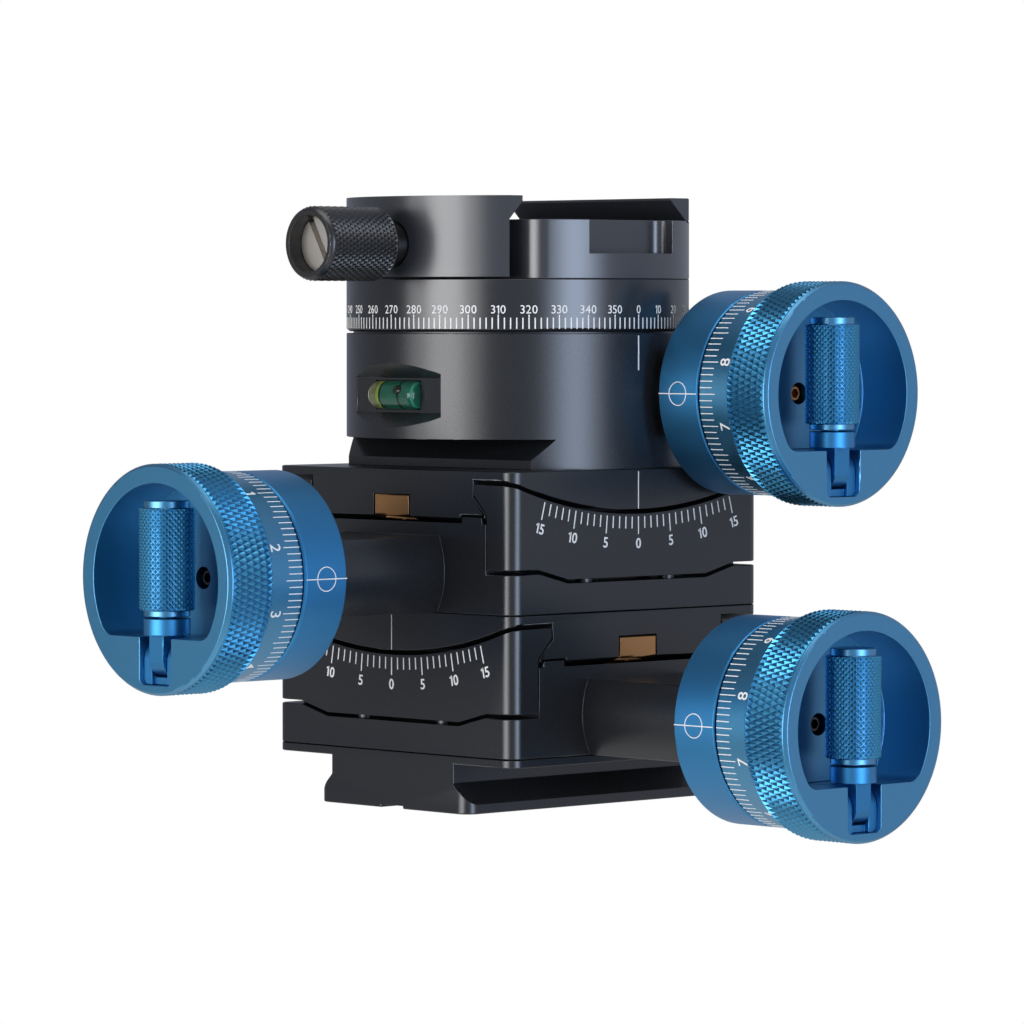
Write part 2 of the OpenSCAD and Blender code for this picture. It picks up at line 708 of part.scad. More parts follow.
// Knob: a graduated dial and a broad rim in one piece, with a hollow face for the folded crank
module knob() {
    edge = 0.3;
    c = knob_chamfer;
    color(BLUE) difference() {
        rotate_extrude() polygon([
            [0, dial_z], [dial_r - edge, dial_z], [dial_r, dial_z + edge], [dial_r, rim_z],
            [rim_r - c, rim_z], [rim_r, rim_z + c], [rim_r, face_z - c], [rim_r - c, face_z], [0, face_z]
        ]);
        translate([0, 0, floor_s]) linear_extrude(hollow_d + eps) hollow_plan();
        translate([0, 0, face_z - bracket_d]) linear_extrude(bracket_d + eps) bracket_plan(seat_gap);
        translate([0, hollow_corner / 2 - hollow_flat, face_z - bracket_d / 2 + eps])
            cube([bracket_w + 2 * seat_gap, hollow_corner, bracket_d + eps], center = true);
        translate([0, 0, dial_z - eps]) cylinder(r = shaft_r + seat_gap, h = socket_d + eps);
        translate([0, 0, knob_seat]) screw_hole(knob_bolt, floor_s, hollow_d);
    }
}

// Button-head screw that holds a knob on its shaft
module knob_screw() {
    low = socket_z - knob_screw_len;
    high = knob_seat + knob_bolt[2];
    dome = 0.6;
    color(BRASS) difference() {
        rotate_extrude() polygon([
            [0, low], [knob_bolt[0], low], [knob_bolt[0], knob_seat], [knob_bolt[1], knob_seat],
            [knob_bolt[1], high - dome], [knob_bolt[1] - dome, high], [0, high]
        ]);
        translate([0, 0, high - 1]) cylinder(r = knob_bolt[0] - 0.3, h = 1 + eps, $fn = 6);
    }
}

// One turn after another of a worm's thread, right-handed, about Z. At z = 0 its middle faces mesh_a.
module worm_thread(pitch, mesh_a) {
    wide = pitch / 4 - backlash / 2;
    slope = tan(flank_a);
    count = worm_turns * thread_steps;
    inner = worm_core - thread_bite;
    foot = wide + (pitch_r - inner) * slope;
    crest = wide - (worm_r - pitch_r) * slope;
    points = [for (i = [0:count]) let (
        turn = (i - count / 2) / thread_steps,
        a = mesh_a + 360 * turn,
        z = pitch * turn
    ) each [
        [inner * cos(a), inner * sin(a), z - foot], [worm_r * cos(a), worm_r * sin(a), z - crest],
        [worm_r * cos(a), worm_r * sin(a), z + crest], [inner * cos(a), inner * sin(a), z + foot]
    ]];
    sides = [for (i = [0:count - 1], k = [0:3]) let (
        p = 4 * i + k,
        q = 4 * i + (k + 1) % 4
    ) each [[p, q, q + 4], [p, q + 4, p + 4]]];
    end = 4 * count;
    caps = [[0, 3, 2], [0, 2, 1], [end, end + 1, end + 2], [end, end + 2, end + 3]];
    polyhedron(points, concat(sides, caps));
}

// Worm shaft: thread, core and the two journals, in one piece
module worm_shaft(reach, far_in, pitch, mesh_a) {
    core_end = near_s - bearing_w - 4 * seat_gap;
    core_start = -reach - far_in + 4 * seat_gap;
    color(STEEL) union() {
        difference() {
            rotate_extrude() polygon([
                [0, -reach - far_in - bearing_w], [shaft_r, -reach - far_in - bearing_w], [shaft_r, core_start],
                [worm_core, core_start], [worm_core, core_end], [shaft_r, core_end], [shaft_r, socket_z],
                [0, socket_z]
            ]);
            translate([0, 0, socket_z - knob_screw_len - eps])
                cylinder(r = knob_bolt[0] + seat_gap, h = knob_screw_len + 2 * eps);
        }
        translate([0, 0, -reach]) worm_thread(pitch, mesh_a);
    }
}

// Hinge bracket: two ears with round upper ends, set into the knob's face
module crank_bracket() {
    front = bracket_d - bracket_inset;
    slot = tongue_w / 2 + 3 * seat_gap;
    ear = bracket_d - crank_depth - tongue_r - 2 * face_gap;
    round_top = hinge_y - hollow_flat - face_gap;
    color(BLUE) translate([0, 0, face_z - bracket_d]) difference() {
        intersection() {
            linear_extrude(front) bracket_plan(0);
            rotate([90, 0, 90]) linear_extrude(far, center = true) union() {
                translate([-far, -eps]) square([far - hinge_y, front + eps]);
                translate([-far, -eps]) square([far - hollow_flat, front - round_top + eps]);
                translate([-hinge_y, front - round_top]) circle(round_top);
            }
        }
        translate([-slot, -hinge_y - tongue_r - face_gap, ear]) cube([2 * slot, far, far]);
        translate([-slot, -far, front - ear_groove]) cube([2 * slot, far, far]);
        hinge_hole(pin_r + seat_gap / 2, bracket_d - crank_depth);
    }
}

module hinge_hole(r, z) { translate([0, -hinge_y, z]) rotate([0, 90, 0]) cylinder(r = r, h = far, center = true); }

module crank_pin() {
    color(STEEL) translate([0, -hinge_y, crank_z]) rotate([0, 90, 0])
        cylinder(r = pin_r, h = bracket_w, center = true);
}

// Turned solid along the crank, from points of radius and height
module along_crank(points) {
    translate([0, 0, crank_z]) rotate([-90, 0, 0]) rotate_extrude() polygon(points);
}

// Crank arm: tongue, collar and the spindle that the grip turns on
module crank_arm() {
    spindle_end = grip_top_y - 2 * face_gap;
    color(BLUE) difference() {
        union() {
            along_crank([
                [0, collar_y], [collar_r, collar_y], [collar_r, collar_y + collar_len],
                [spindle_r, collar_y + collar_len], [spindle_r, spindle_end], [0, spindle_end]
            ]);
            translate([0, -hinge_y, crank_z]) rotate([0, 90, 0])
                cylinder(r = tongue_r, h = tongue_w, center = true);
            translate([-tongue_w / 2, -hinge_y, crank_z - tongue_r])
                cube([tongue_w, collar_foot + eps, 2 * tongue_r]);
        }
        hinge_hole(pin_r + run_gap, crank_z);
    }
}

// Grip: a sleeve that spins on the crank's spindle
module crank_grip() {
    bore = spindle_r + run_gap;
    color(BLUE) along_crank([
        [bore, grip_y], [collar_r, grip_y], [collar_r, grip_body_y], [grip_r, grip_body_y], [grip_r, grip_top_y],
        [collar_r, grip_top_y], [collar_r, grip_end_y], [0, grip_end_y], [0, grip_top_y - face_gap],
        [bore, grip_top_y - face_gap]
    ]);
}

// Level body: houses the worm wheel, and stands on the upper cradle with a dovetail along X
module level_body() {
    low = [0, 0, level_z];
    color(BLACK) difference() {
        union() {
            difference() {
                translate(low) cylinder(r = round_r, h = level_h);
                for (s = [0, 1]) mirror([0, s, 0]) rotate([90, 0, 90]) linear_extrude(far, center = true)
                    dovetail_space(level_z, level_z + dovetail_lip + dovetail_cut);
            }
            at_pan_knob() translate([0, 0, -pan_x / 2]) linear_extrude(pan_x / 2 + boss_seat)
                boss_plan(pan_boss, pan_boss, 0);
        }
        translate([0, 0, pocket_floor]) cylinder(r = wheel_hole, h = far);
        translate([0, 0, bush_floor]) cylinder(r = turn_bush_r, h = far);
        translate([0, 0, level_z - eps]) cylinder(r = pivot_r + run_gap, h = far);
        translate([0, 0, level_z - eps]) cylinder(r = nut_r + 2 * face_gap, h = nut_top - level_z + eps);
        at_pan_knob() translate([0, 0, -pan_x - pan_far_in - bearing_w])
            cylinder(r = bearing_r + seat_gap, h = pan_x + pan_far_in + bearing_w + boss_seat + eps);
        level_screw_places() screw_hole(big, screw_bite, far);
        vial_place() vial_space();
    }
}

// The vial's place: axis along X, with the level body's skin towards -Y
module vial_place() { translate([-pocket_shift, -round_r, level_z + vial_h]) children(); }

// Pocket with 45-degree upper and lower walls, and a round seat along its floor
module vial_space() {
    rotate([90, 0, 90]) linear_extrude(2 * vial_pocket, center = true) polygon([
        [-eps, vial_mouth + eps], [pocket_d, vial_mouth - pocket_d], [pocket_d, pocket_d - vial_mouth],
        [-eps, -vial_mouth - eps]
    ]);
    translate([-vial_shift, vial_depth, 0]) rotate([0, 90, 0])
        cylinder(r = vial_r + seat_gap, h = vial_len + 2 * seat_gap, center = true);
}

module vial_turned(points) {
    vial_place() translate([-vial_shift, vial_depth, 0]) rotate([0, 90, 0]) rotate_extrude() polygon(points);
}

// Glass tube of the vial, with round ends
module level_vial() {
    end = vial_len / 2;
    r = vial_r - vial_wall;
    in = end - vial_end;
    dome = [for (a = [0:15:90]) [vial_r - vial_dome + vial_dome * sin(a), end - vial_dome + vial_dome * cos(a)]];
    color(GLASS) difference() {
        vial_turned(concat(
            [[0, -end]], [for (p = dome) [p[0], -p[1]]], [for (i = [len(dome) - 1:-1:0]) dome[i]], [[0, end]]
        ));
        vial_turned([[0, -in], [r, -in], [r, in], [0, in]]);
    }
}

// Liquid in the vial, with its bubble at the top
module level_liquid() {
    end = vial_len / 2 - vial_end - seat_gap;
    r = vial_r - vial_wall - seat_gap;
    color(GREEN) difference() {
        vial_turned([[0, -end], [r, -end], [r, end], [0, end]]);
        vial_place() translate([-vial_shift, vial_depth, r]) rotate([0, 90, 0])
            cylinder(r = r * 0.6, h = r * 2, center = true);
    }
}

module level_screw_places() {
    translate([0, 0, pocket_floor - big[2]]) corners(level_screw_x, level_screw_x) children();
}

module level_body_screws() {
    color(STEEL) level_screw_places() screw(big, pocket_floor - big[2] - level_z + screw_bite - 1);
}

// Bronze bush that the graduated ring's hub turns in and rests on
module pan_turn_bush() {
    color(BRASS) translate([0, 0, bush_floor]) difference() {
        cylinder(r = turn_bush_r - seat_gap, h = turn_bush_h + face_gap - seat_gap);
        translate([0, 0, -eps]) cylinder(r = hub_r + run_gap, h = turn_bush_h + 2 * eps);
    }
}

// Graduated ring with its hub and turning spindle
module pan_scale_ring() {
    c = 0.5;
    hub_z = wheel_z + wheel_half;
    color(BLACK) difference() {
        rotate_extrude() polygon([
            [0, level_z + face_gap], [pivot_r - 1, level_z + face_gap], [pivot_r - 1, nut_top - face_gap],
            [pivot_r, nut_top - face_gap], [pivot_r, hub_z], [hub_r, hub_z], [hub_r, ring_z],
            [round_r - c, ring_z], [round_r, ring_z + c], [round_r, clamp_z], [0, clamp_z]
        ]);
        clamp_screw_places() screw_hole(big, floor_z - big[2] - clamp_z + screw_bite, eps);
    }
}

// Worm wheel on the spindle, hollowed to wrap round the worm
module pan_worm_wheel() {
    step = 360 / pan_teeth;
    color(BRASS) translate([0, 0, wheel_z]) difference() {
        rotate_extrude() difference() {
            translate([pivot_r + seat_gap / 2, -wheel_half]) square([wheel_r - pivot_r, 2 * wheel_half]);
            translate([pan_worm_y, 0]) circle(rack_tip_gap);
        }
        for (i = [1:pan_teeth]) rotate([0, 0, 90 + i * step]) intersection() {
            tooth_space(pan_pitch, wheel_pitch_r, pan_worm_y - rack_root_gap, wheel_r + 2, lead(pan_pitch));
            cube([far, far, 2 * wheel_half + 1], center = true);
        }
    }
}

// Nut under the spindle: keeps the ring down on its bush
module pan_nut() {
    color(STEEL) translate([0, 0, nut_top - face_gap - nut_h]) difference() {
        cylinder(r = nut_r, h = nut_h);
        translate([0, 0, -eps]) cylinder(r = pivot_r - 1 + seat_gap, h = nut_h + 2 * eps);
        for (a = [0, 180]) rotate([0, 0, a]) translate([nut_r - 2, 0, -eps]) cylinder(r = 1, h = 2);
    }
}

// Plan of the clamp's body: round, with a flat side and two round corners towards the moving jaw
module clamp_plan() {
    c = clamp_corner;
    y = c - clamp_flat;
    x = sqrt(pow(round_r - c, 2) - y * y);
    intersection() {
        circle(round_r);
        translate([-far, y]) square([2 * far, far]);
    }
    translate([-x, -clamp_flat]) square([2 * x, c]);
    intersection() {
        circle(round_r);
        polygon([[0, 0], [x, y] * 3, [far, 0], [-far, 0], [-x, y] * 3]);
    }
    for (s = [-1, 1]) translate([s * x, y]) circle(c);
}

// Clamp body: floor of the plate channel, with a stop notch in each end
module clamp_body() {
    color(BLACK) difference() {
        translate([0, 0, clamp_z]) linear_extrude(clamp_h) clamp_plan();
        both_x() translate([round_r - notch_d, 0, floor_z - notch_h]) linear_extrude(far) notch_plan();
        clamp_screw_places() screw_hole(big, floor_z, far);
        fixed_jaw_screw_places() screw_hole(small, far, far);
        translate([-far, fixed_root - fixed_reach - face_gap, floor_z - relief_d])
            cube([2 * far, fixed_reach + face_gap, far]);
        translate([0, 0, axis_z]) rotate([90, 0, 0]) {
            cylinder(r = clamp_screw_r + run_gap, h = far);
            both_x() translate([guide_x, 0, guide_in - jaw_travel - 1]) cylinder(r = guide_r + run_gap, h = far);
        }
    }
}

// Plan of a stop notch, open outwards
module notch_plan() {
    translate([notch_r, -notch_half]) square([far, 2 * notch_half]);
    translate([0, notch_r - notch_half]) square([far, 2 * (notch_half - notch_r)]);
    for (s = [-1, 1]) translate([notch_r, s * (notch_half - notch_r)]) circle(notch_r);
}

module clamp_screw_places() {
    translate([0, 0, floor_z - big[2]]) corners(clamp_bolt_x, clamp_bolt_y) children();
}

module fixed_jaw_screw_places() {
    for (s = [-1, 1]) translate([s * jaw_bolt_x, jaw_bolt_y, clamp_z + small[2] + seat_gap])
        rotate([180, 0, 0]) children();
}

module clamp_body_screws() {
    color(STEEL) {
        clamp_screw_places() screw(big, clamp_h - big[2] + screw_bite - 1);
        fixed_jaw_screw_places() screw(small, jaw_bolt_len);
    }
}

// Fixed jaw: a plate on the far side of the channel, with a 45-degree overhang
module clamp_fixed_jaw() {
    tip = fixed_root - fixed_reach;
    color(BLACK) difference() {
        intersection() {
            translate([0, 0, floor_z]) cylinder(r = round_r, h = jaw_h);
            rotate([90, 0, 90]) linear_extrude(2 * jaw_half, center = true) polygon([
                [fixed_root, floor_z], [tip, floor_z + fixed_reach], [tip, top_z + eps], [far, top_z + eps],
                [far, floor_z]
            ]);
        }
        fixed_jaw_screw_places() screw_hole(small, jaw_bolt_len, eps);
    }
}

// Moving jaw: a full-height segment that the thumb knob draws towards the channel
module clamp_moving_jaw() {
    tip = jaw_root - jaw_reach;
    color(BLACK) difference() {
        intersection() {
            translate([0, 0, clamp_z + face_gap]) cylinder(r = round_r, h = top_z - clamp_z - face_gap);
            rotate([90, 0, 90]) linear_extrude(2 * jaw_half, center = true) polygon([
                [-jaw_root, clamp_z], [-jaw_root, floor_z], [-tip, floor_z + jaw_reach], [-tip, top_z + eps],
                [-far, top_z + eps], [-far, clamp_z]
            ]);
        }
        translate([0, 0, axis_z]) rotate([90, 0, 0]) {
            cylinder(r = clamp_screw_r + run_gap, h = far);
            translate([0, 0, jaw_spot]) cylinder(r = thumb_neck + face_gap, h = far);
            both_x() translate([guide_x, 0, 0]) cylinder(r = guide_r + seat_gap / 2, h = guide_end());
        }
    }
}

function guide_end() = sqrt(round_r * round_r - pow(guide_x + guide_r, 2)) - guide_wall;

// Two guide pins fixed in the moving jaw and sliding in the clamp body
module clamp_guide_pins() {
    color(STEEL) translate([0, 0, axis_z]) rotate([90, 0, 0]) both_x()
        translate([guide_x, 0, guide_in]) cylinder(r = guide_r, h = guide_end() - guide_in);
}

// Thumb knob of the clamp, with a hollow end over the screw's head
module clamp_thumb_knob() {
    c = 0.7;
    neck = jaw_spot + seat_gap * 2;
    color(DARK) translate([0, 0, axis_z]) rotate([90, 0, 0]) difference() {
        rotate_extrude() polygon([
            [0, neck], [thumb_neck, neck], [thumb_neck, thumb_x], [thumb_r - c, thumb_x], [thumb_r, thumb_x + c],
            [thumb_r, thumb_out - c], [thumb_r - c, thumb_out], [thumb_hollow, thumb_out],
            [thumb_hollow, thumb_seat], [0, thumb_seat]
        ]);
        cylinder(r = clamp_screw_r + seat_gap, h = far);
    }
}

// Clamp screw with a slotted head inside the thumb knob
module clamp_screw() {
    head = thumb_hollow - 2 * seat_gap;
    head_h = 2.2;
    slot = 1.2;
    color(STEEL) translate([0, 0, axis_z]) rotate([90, 0, 0]) difference() {
        rotate_extrude() polygon([
            [0, guide_in], [clamp_screw_r, guide_in], [clamp_screw_r, thumb_seat], [head, thumb_seat],
            [head, thumb_seat + head_h], [0, thumb_seat + head_h]
        ]);
        rotate([0, 0, 120]) translate([-far / 2, -slot / 2, thumb_seat + head_h / 2]) cube([far, slot, head_h]);
    }
}

// Pieces of the lower stage
module lower_bed() { in_lower() bed(); }
module lower_bed_screws() { in_lower() bed_screws(); }
module lower_cheek_front() { in_lower() mirror([1, 0, 0]) cheek(); }
module lower_cheek_rear() { in_lower() cheek(); }
module lower_cheek_screws() { in_lower() cheek_screws(); }
module lower_bearings() { at_lower_knob() bearing_pair(stage_reach, stage_far_in); }
module lower_index_ring() { at_lower_knob() index_ring(worm_h, boss_h - worm_h); }
module lower_cradle() { in_lower() cradle(); }
module lower_rack() { in_lower() rack(); }
module lower_rack_screws() { in_lower() rack_screws(); }

// Pieces of the upper stage
module upper_bed() { in_upper() bed(); }
module upper_bed_screws() { in_upper() bed_screws(); }
module upper_cheek_left() { in_upper() mirror([1, 0, 0]) cheek(); }
module upper_cheek_right() { in_upper() cheek(); }
module upper_cheek_screws() { in_upper() cheek_screws(); }
module upper_bearings() { at_upper_knob() bearing_pair(stage_reach, stage_far_in); }
module upper_index_ring() { at_upper_knob() index_ring(worm_h, boss_h - worm_h); }
module upper_cradle() {
    difference() {
        in_upper() cradle();
        level_screw_places() screw_hole(big, far, eps);
    }
}
module upper_rack() { in_upper() rack(); }
module upper_rack_screws() { in_upper() rack_screws(); }

// Pieces of the panning drive
module pan_bearings() { at_pan_knob() bearing_pair(pan_x, pan_far_in); }
module pan_index_ring() { at_pan_knob() index_ring(pan_boss, pan_boss); }

// The three knobs and their cranks
module lower_knob() { at_lower_knob() knob(); }
module lower_knob_screw() { at_lower_knob() knob_screw(); }
module lower_worm_shaft() { at_lower_knob() worm_shaft(stage_reach, stage_far_in, stage_pitch, 90); }
module lower_crank_bracket() { at_lower_knob() crank_bracket(); }
module lower_crank_pin() { at_lower_knob() crank_pin(); }
module lower_crank_arm() { at_lower_knob() crank_arm(); }
module lower_crank_grip() { at_lower_knob() crank_grip(); }
module upper_knob() { at_upper_knob() knob(); }
module upper_knob_screw() { at_upper_knob() knob_screw(); }
module upper_worm_shaft() { at_upper_knob() worm_shaft(stage_reach, stage_far_in, stage_pitch, 90); }
module upper_crank_bracket() { at_upper_knob() crank_bracket(); }
module upper_crank_pin() { at_upper_knob() crank_pin(); }
module upper_crank_arm() { at_upper_knob() crank_arm(); }
module upper_crank_grip() { at_upper_knob() crank_grip(); }
module pan_knob() { at_pan_knob() knob(); }
module pan_knob_screw() { at_pan_knob() knob_screw(); }
module pan_worm_shaft() { at_pan_knob() worm_shaft(pan_x, pan_far_in, pan_pitch, 180); }
module pan_crank_bracket() { at_pan_knob() crank_bracket(); }
module pan_crank_pin() { at_pan_knob() crank_pin(); }
module pan_crank_arm() { at_pan_knob() crank_arm(); }
module pan_crank_grip() { at_pan_knob() crank_grip(); }

base_plate();
tripod_bush();
lower_bed();
lower_bed_screws();
lower_cheek_front();
lower_cheek_rear();
lower_cheek_screws();
lower_bearings();
lower_index_ring();
lower_cradle();
lower_rack();
lower_rack_screws();
upper_bed();
upper_bed_screws();
upper_cheek_left();
upper_cheek_right();
upper_cheek_screws();
upper_bearings();
upper_index_ring();
upper_cradle();
upper_rack();
upper_rack_screws();
level_body();
level_body_screws();
level_vial();
level_liquid();
pan_bearings();
pan_index_ring();
pan_turn_bush();
pan_scale_ring();
pan_worm_wheel();
pan_nut();
clamp_body();
clamp_body_screws();
clamp_fixed_jaw();
clamp_moving_jaw();
clamp_guide_pins();
clamp_thumb_knob();
clamp_screw();
lower_knob();
lower_knob_screw();
lower_worm_shaft();
lower_crank_bracket();
lower_crank_pin();
lower_crank_arm();
lower_crank_grip();
upper_knob();
upper_knob_screw();
upper_worm_shaft();
upper_crank_bracket();
upper_crank_pin();
upper_crank_arm();
upper_crank_grip();
pan_knob();
pan_knob_screw();
pan_worm_shaft();
pan_crank_bracket();
pan_crank_pin();
pan_crank_arm();
pan_crank_grip();
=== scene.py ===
"""Looks of a three-axis geared head, built round its CAD model.

Finishes, broken edges, knurls, painted scales, the level and a white studio.
"""

import json
import math

import bmesh
import bpy
from bpy.props import FloatProperty, FloatVectorProperty, IntProperty, PointerProperty
from mathutils import Matrix, Vector


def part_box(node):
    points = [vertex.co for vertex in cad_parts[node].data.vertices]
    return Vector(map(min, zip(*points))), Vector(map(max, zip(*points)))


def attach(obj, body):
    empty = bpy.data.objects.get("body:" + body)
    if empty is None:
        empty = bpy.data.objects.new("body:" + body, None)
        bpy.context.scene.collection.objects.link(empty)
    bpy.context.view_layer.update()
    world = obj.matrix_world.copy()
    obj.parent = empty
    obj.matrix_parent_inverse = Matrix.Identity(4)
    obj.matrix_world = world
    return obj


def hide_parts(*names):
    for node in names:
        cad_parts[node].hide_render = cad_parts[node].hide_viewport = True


bl_info = {
    "name": "Geared head looks",
    "version": (1, 0, 0),
    "blender": (4, 5, 0),
    "location": "View3D > Sidebar > Geared head",
    "description": "Dresses the geared head's CAD model with knurls, scales, finishes and a studio",
    "category": "Object",
}

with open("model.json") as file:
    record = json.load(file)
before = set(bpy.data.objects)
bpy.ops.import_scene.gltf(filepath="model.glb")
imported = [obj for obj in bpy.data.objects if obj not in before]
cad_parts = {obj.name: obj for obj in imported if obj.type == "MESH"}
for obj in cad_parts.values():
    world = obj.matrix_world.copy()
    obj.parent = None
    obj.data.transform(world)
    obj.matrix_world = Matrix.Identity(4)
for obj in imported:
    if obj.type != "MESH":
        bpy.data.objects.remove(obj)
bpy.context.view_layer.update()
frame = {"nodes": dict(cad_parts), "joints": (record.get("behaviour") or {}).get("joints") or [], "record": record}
MM = 0.001
NODES = frame["nodes"]
SLOTS = {p["node"]: p["material_slot"] for p in frame["record"]["subparts"]}
BODY_OF = {n: b for b, nodes in frame["record"]["behaviour"]["bodies"].items() for n in nodes}
KNOB_NAMES = ("lower", "upper", "pan")

# Nodes whose finish isn't that of their slot. The clamp's pieces get a paler copy of the black finish: painted
# light.
FINISH = {
    "pan_scale_ring": "black_turned", "clamp_body": "black_jaw_painted_light", "clamp_fixed_jaw": "black_jaw_painted_light",
    "clamp_moving_jaw": "black_jaw_painted_light",
}


class HeadSizes(bpy.types.PropertyGroup):
    """Sizes of what the scene adds to the CAD model."""

    edge: FloatProperty(
        name="Edge", description="Width of the broken edges on black pieces",
        default=0.22 * MM, unit="LENGTH")
    knurl_depth: FloatProperty(
        name="Knurl depth", description="Height of the pyramids on the rims",
        default=0.34 * MM, unit="LENGTH")
    rim_around: IntProperty(
        name="Rim knurl", description="Pyramids round a knob's rim", default=112, min=24)
    rim_rows: IntProperty(
        name="Rim rows", description="Rows of pyramids along a knob's rim", default=3, min=2)
    grip_around: IntProperty(
        name="Grip knurl", description="Pyramids round a crank's grip", default=30, min=12)
    grip_rows: IntProperty(
        name="Grip rows", description="Rows of pyramids along a crank's grip", default=17, min=4)
    thumb_around: IntProperty(
        name="Thumb knurl", description="Pyramids round the clamp's thumb knob", default=44, min=12)
    thumb_rows: IntProperty(
        name="Thumb rows", description="Rows of pyramids along the thumb knob", default=9, min=4)
    mark_lift: FloatProperty(
        name="Mark height", description="How far the white marks stand out",
        default=0.03 * MM, unit="LENGTH")


class HeadColours(bpy.types.PropertyGroup):
    """Colours of the finishes."""

    black: FloatVectorProperty(
        name="Black", description="Black anodised metal", subtype="COLOR",
        default=(0.0115, 0.0125, 0.015))
    blue: FloatVectorProperty(
        name="Blue", description="Blue anodised metal", subtype="COLOR",
        default=(0.008, 0.25, 0.55))
    knob: FloatVectorProperty(
        name="Knob blue", description="Blue anodised metal of the knobs", subtype="COLOR",
        default=(0.014, 0.28, 0.53))
    dark: FloatVectorProperty(
        name="Dark", description="Dark metal of the thumb knob", subtype="COLOR",
        default=(0.09, 0.088, 0.088))
    brass: FloatVectorProperty(
        name="Brass", description="Racks, wheel and small screws", subtype="COLOR",
        default=(0.56, 0.29, 0.12))
    steel: FloatVectorProperty(
        name="Steel", description="Shafts, pins and screws", subtype="COLOR",
        default=(0.62, 0.58, 0.53))
    paint: FloatVectorProperty(
        name="Paint", description="White paint of the scales", subtype="COLOR",
        default=(0.9, 0.9, 0.89))
    glass: FloatVectorProperty(
        name="Glass", description="Glass tube of the level", subtype="COLOR",
        default=(0.95, 1, 0.96))
    liquid: FloatVectorProperty(
        name="Liquid", description="Liquid in the level", subtype="COLOR",
        default=(0.02, 0.2, 0.12))
    ring: FloatVectorProperty(
        name="Rings", description="Rings round the level's liquid", subtype="COLOR",
        default=(0.002, 0.003, 0.002))
    band: FloatVectorProperty(
        name="Band", description="Pale band at the start of the liquid", subtype="COLOR",
        default=(0.36, 0.52, 0.05))
    plug: FloatVectorProperty(
        name="Plug", description="Plug of the level", subtype="COLOR",
        default=(0.26, 0.25, 0.1))
    # The bubble is air: its dark colour is painted shade.
    bubble: FloatVectorProperty(
        name="Bubble", description="Bubble of the level", subtype="COLOR",
        default=(0.01, 0.02, 0.006))
    # Painted highlight: a pale ring inside the end of the glass stands for the glint on it.
    lip: FloatVectorProperty(
        name="Lip", description="Bright lip of the level's glass", subtype="COLOR",
        default=(0.7, 0.76, 0.73))


def deselect():
    """Leaves no object selected."""
    bpy.ops.object.select_all(action="DESELECT")


def pick(obj):
    """Makes one object the only selected and the active one."""
    deselect()
    obj.select_set(True)
    bpy.context.view_layer.objects.active = obj


def in_edit_mode(obj, work):
    """Runs work on one object in edit mode with all of its mesh selected."""
    pick(obj)
    bpy.ops.object.mode_set(mode="EDIT")
    bpy.ops.mesh.select_all(action="SELECT")
    work()
    bpy.ops.object.mode_set(mode="OBJECT")


def select_edges(test):
    """Selects the edges of the mesh in edit mode that pass a test."""
    bpy.ops.mesh.select_mode(type="EDGE")
    mesh = bmesh.from_edit_mesh(bpy.context.object.data)
    for edge in mesh.edges:
        edge.select_set(test(edge))
    mesh.select_flush_mode()
    bmesh.update_edit_mesh(bpy.context.object.data)


def apply_place(obj):
    """Moves an object's place, turn and scale into its mesh."""
    pick(obj)
    bpy.ops.object.transform_apply(location=True, rotation=True, scale=True)


def join(objs, name):
    """One object out of several, under a new name."""
    pick(objs[0])
    for obj in objs[1:]:
        obj.select_set(True)
    if len(objs) > 1:
        bpy.ops.object.join()
    objs[0].name = objs[0].data.name = name
    return objs[0]


def smooth(obj, degrees=30):
    """Shades an object smooth across edges that turn by less than an angle."""
    pick(obj)
    bpy.ops.object.shade_smooth_by_angle(angle=math.radians(degrees))


def axes_at(origin, side, out):
    """Matrix of a frame at an origin: X sideways, Y up, Z outwards."""
    return Matrix.Translation(origin) @ Matrix((side, (0, 0, 1), out)).transposed().to_4x4()


def knob_frame(name):
    """Matrix of a knob's frame, from the back of its index ring."""
    low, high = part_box(f"{name}_index_ring")
    centre = (low + high) / 2
    if name == "upper":
        origin = Vector((centre.x, high.y, centre.z))
        side, out = Vector((1, 0, 0)), Vector((0, -1, 0))
    else:
        origin = Vector((low.x, centre.y, centre.z))
        side, out = Vector((0, 1, 0)), Vector((1, 0, 0))
    return axes_at(origin, side, out)


def finish_of(node):
    """Name of a CAD node's finish."""
    return FINISH.get(node, SLOTS[node])


def paint(obj, finish):
    """Gives all of a piece one finish."""
    obj.data.materials.clear()
    obj.data.materials.append(bpy.data.materials[f"{finish}_finish"])


def stand_for(obj, node):
    """Lets a piece stand for a CAD node."""
    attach(obj, BODY_OF[node])
    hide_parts(node)


def dress(obj, node):
    """Lets a piece stand for a CAD node, with that node's finish."""
    stand_for(obj, node)
    paint(obj, finish_of(node))


def put_mark(obj, body):
    """White paint that rides on a body."""
    paint(obj, "white_paint")
    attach(obj, body)


# Grain: inputs of its node group, detail and mean of its noise, and height of its bumps.
GRAIN_INPUTS = {"Scale": 8000.0, "Roughness": 0.4, "Spread": 0.05}
GRAIN_DETAIL = 2.0
NOISE_MEAN = 0.5
GRAIN_HEIGHT = 0.02 * MM
# How many times paler the clamp's black is than that of the other black pieces: painted light on the clamp.
CLAMP_PAINTED_LIGHT = 3


def set_inputs(node, **values):
    """Sets inputs of a shader node by name, with _ for a space."""
    for key, value in values.items():
        node.inputs[key.replace("_", " ")].default_value = value


def node_of(tree, kind, place, **values):
    """A shader node at a place in its tree, with some of its inputs set."""
    node = tree.nodes.new(kind)
    node.location = place
    set_inputs(node, **values)
    return node


